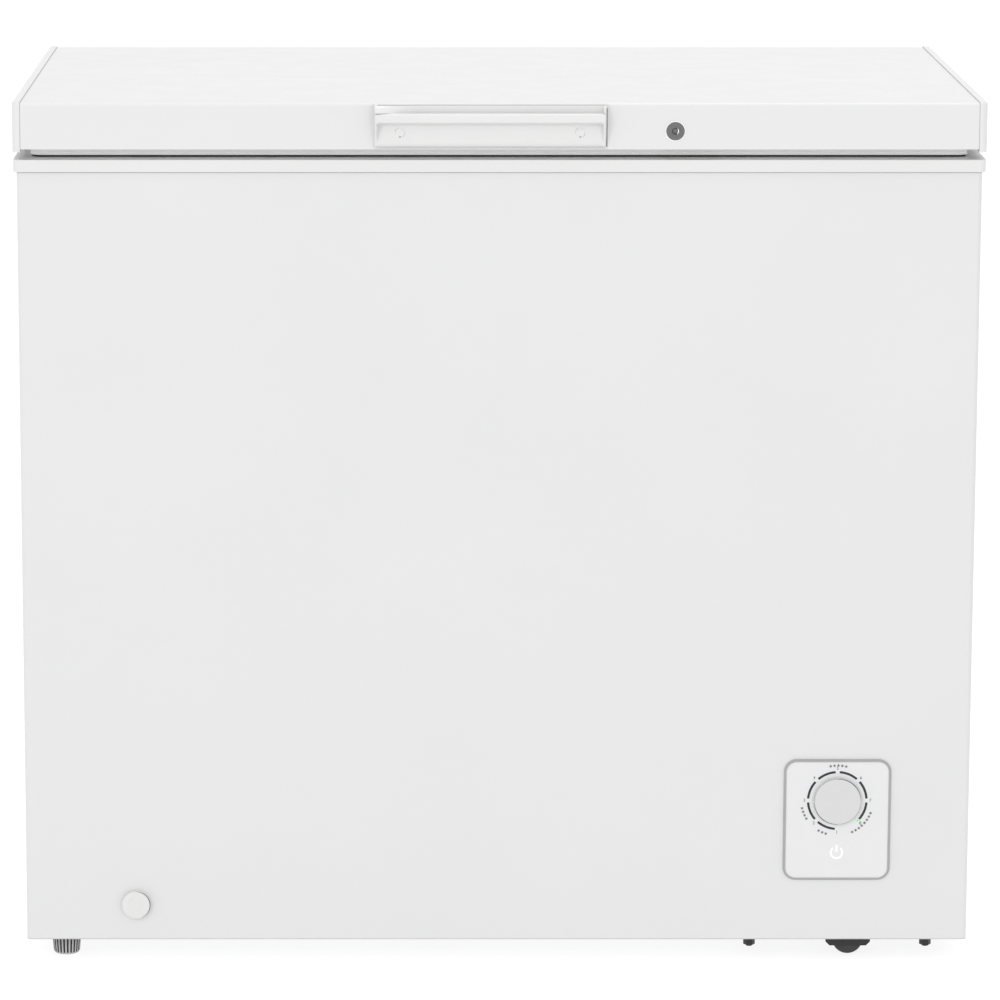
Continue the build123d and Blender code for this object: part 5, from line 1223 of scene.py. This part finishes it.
# ---- stage ---------------------------------------------------------------------------
CAMERA_PLACE = (-0.0952, -4.9331, 1.3783)
CAMERA_DOWN = 10.51
CAMERA_LENS = 176.8
CAMERA_SHIFT = (0.10, -0.05)
FLOOR_REACH = 60.0
FLOOR_RINGS = (0.6, 1.4, 3.0, 8.0, 20.0, FLOOR_REACH)
FLOOR_TONES = ((0.22, 0.22, 0.22), (0.23, 0.23, 0.23))
FLOOR_GLOW = 0.84
KEY_PLACE = (-2.3, -4.7, 2.5)
KEY_SIZE = 1.2
KEY_POWER = 44.0
FILL_PLACE = (1.9, -5.4, 1.2)
FILL_POWER = 21.0
TOP_PLACE = (0.6, 0.4, 4.2)
TOP_POWER = 30.0


def pale_floor():
    """A pale floor that glows softly, so that contact shadows stay faint."""
    rings, count = FLOOR_RINGS, 64
    vertices = [(0.0, 0.0, 0.0)]
    faces = []
    for ring, radius in enumerate(rings):
        for step in range(count):
            angle = math.tau * step / count
            vertices.append((radius * math.cos(angle), radius * math.sin(angle), 0.0))
    for step in range(count):
        after = (step + 1) % count
        faces.append((0, 1 + step, 1 + after))
        for ring in range(len(rings) - 1):
            a, b = 1 + ring * count + step, 1 + ring * count + after
            faces.append((a, a + count, b + count, b))
    mesh = bpy.data.meshes.new("floor")
    mesh.from_pydata(vertices, [], faces)
    floor = bpy.data.objects.new("floor", mesh)
    bpy.context.scene.collection.objects.link(floor)
    paper = bpy.data.materials.new("floor_paper")
    paper.use_nodes = True
    tree = paper.node_tree
    shader = tree.nodes["Principled BSDF"]
    place = node(tree, "ShaderNodeTexCoord").outputs["Object"]
    tone = remap(tree, noise(tree, place, 40.0, 5.0), 0.0, 1.0)
    tree.links.new(blend(tree, tone, *FLOOR_TONES), shader.inputs["Base Color"])
    shader.inputs["Roughness"].default_value = 0.9
    shader.inputs["Specular IOR Level"].default_value = 0.0
    shader.inputs["Emission Color"].default_value = (1.0, 1.0, 1.0, 1.0)
    shader.inputs["Emission Strength"].default_value = FLOOR_GLOW
    mesh.materials.append(paper)


def area_light(name, place, size, power, aim=(0.0, 0.0, 0.5)):
    data = bpy.data.lights.new(name, "AREA")
    data.shape = "DISK"
    data.size = size
    data.energy = power
    made = bpy.data.objects.new(name, data)
    made.location = place
    made.rotation_euler = (Vector(aim) - Vector(place)).to_track_quat("-Z", "Y").to_euler()
    bpy.context.scene.collection.objects.link(made)


def studio():
    world = bpy.data.worlds.new("studio")
    world.use_nodes = True
    backdrop = world.node_tree.nodes["Background"]
    backdrop.inputs["Color"].default_value = (1.0, 1.0, 1.0, 1.0)
    backdrop.inputs["Strength"].default_value = 1.0
    bpy.context.scene.world = world
    bpy.context.scene.view_settings.view_transform = "Standard"
    area_light("key", KEY_PLACE, KEY_SIZE, KEY_POWER)
    area_light("fill", FILL_PLACE, KEY_SIZE, FILL_POWER)
    area_light("top", TOP_PLACE, KEY_SIZE, TOP_POWER)
    pale_floor()


def camera():
    data = bpy.data.cameras.new("camera")
    data.lens = CAMERA_LENS
    data.shift_x, data.shift_y = CAMERA_SHIFT
    data.clip_end = 2 * FLOOR_REACH
    made = bpy.data.objects.new("camera", data)
    made.location = CAMERA_PLACE
    made.rotation_euler = (math.radians(90.0 - CAMERA_DOWN), 0.0, 0.0)
    bpy.context.scene.collection.objects.link(made)
    bpy.context.scene.camera = made


def main():
    dress_cad_nodes()
    lid_seal()
    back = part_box("back_panel")[1].y
    screw_heads("cabinet_screw_heads", "cabinet_screws", "cabinet", back)
    screw_heads("lid_screw_heads", "lid_screws", "lid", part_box("lid_skin")[1].y)
    handle_moulding()
    handle_caps()
    lid_seams()
    sheet_lines()
    knob()
    drain_cap()
    lock_detail()
    foot_pads()
    middle = dial_middle()
    dial_ring(middle)
    dial_numbers(middle)
    cold_marks(middle)
    dial_lamps(middle)
    basket_wires()
    studio()
    camera()


main()
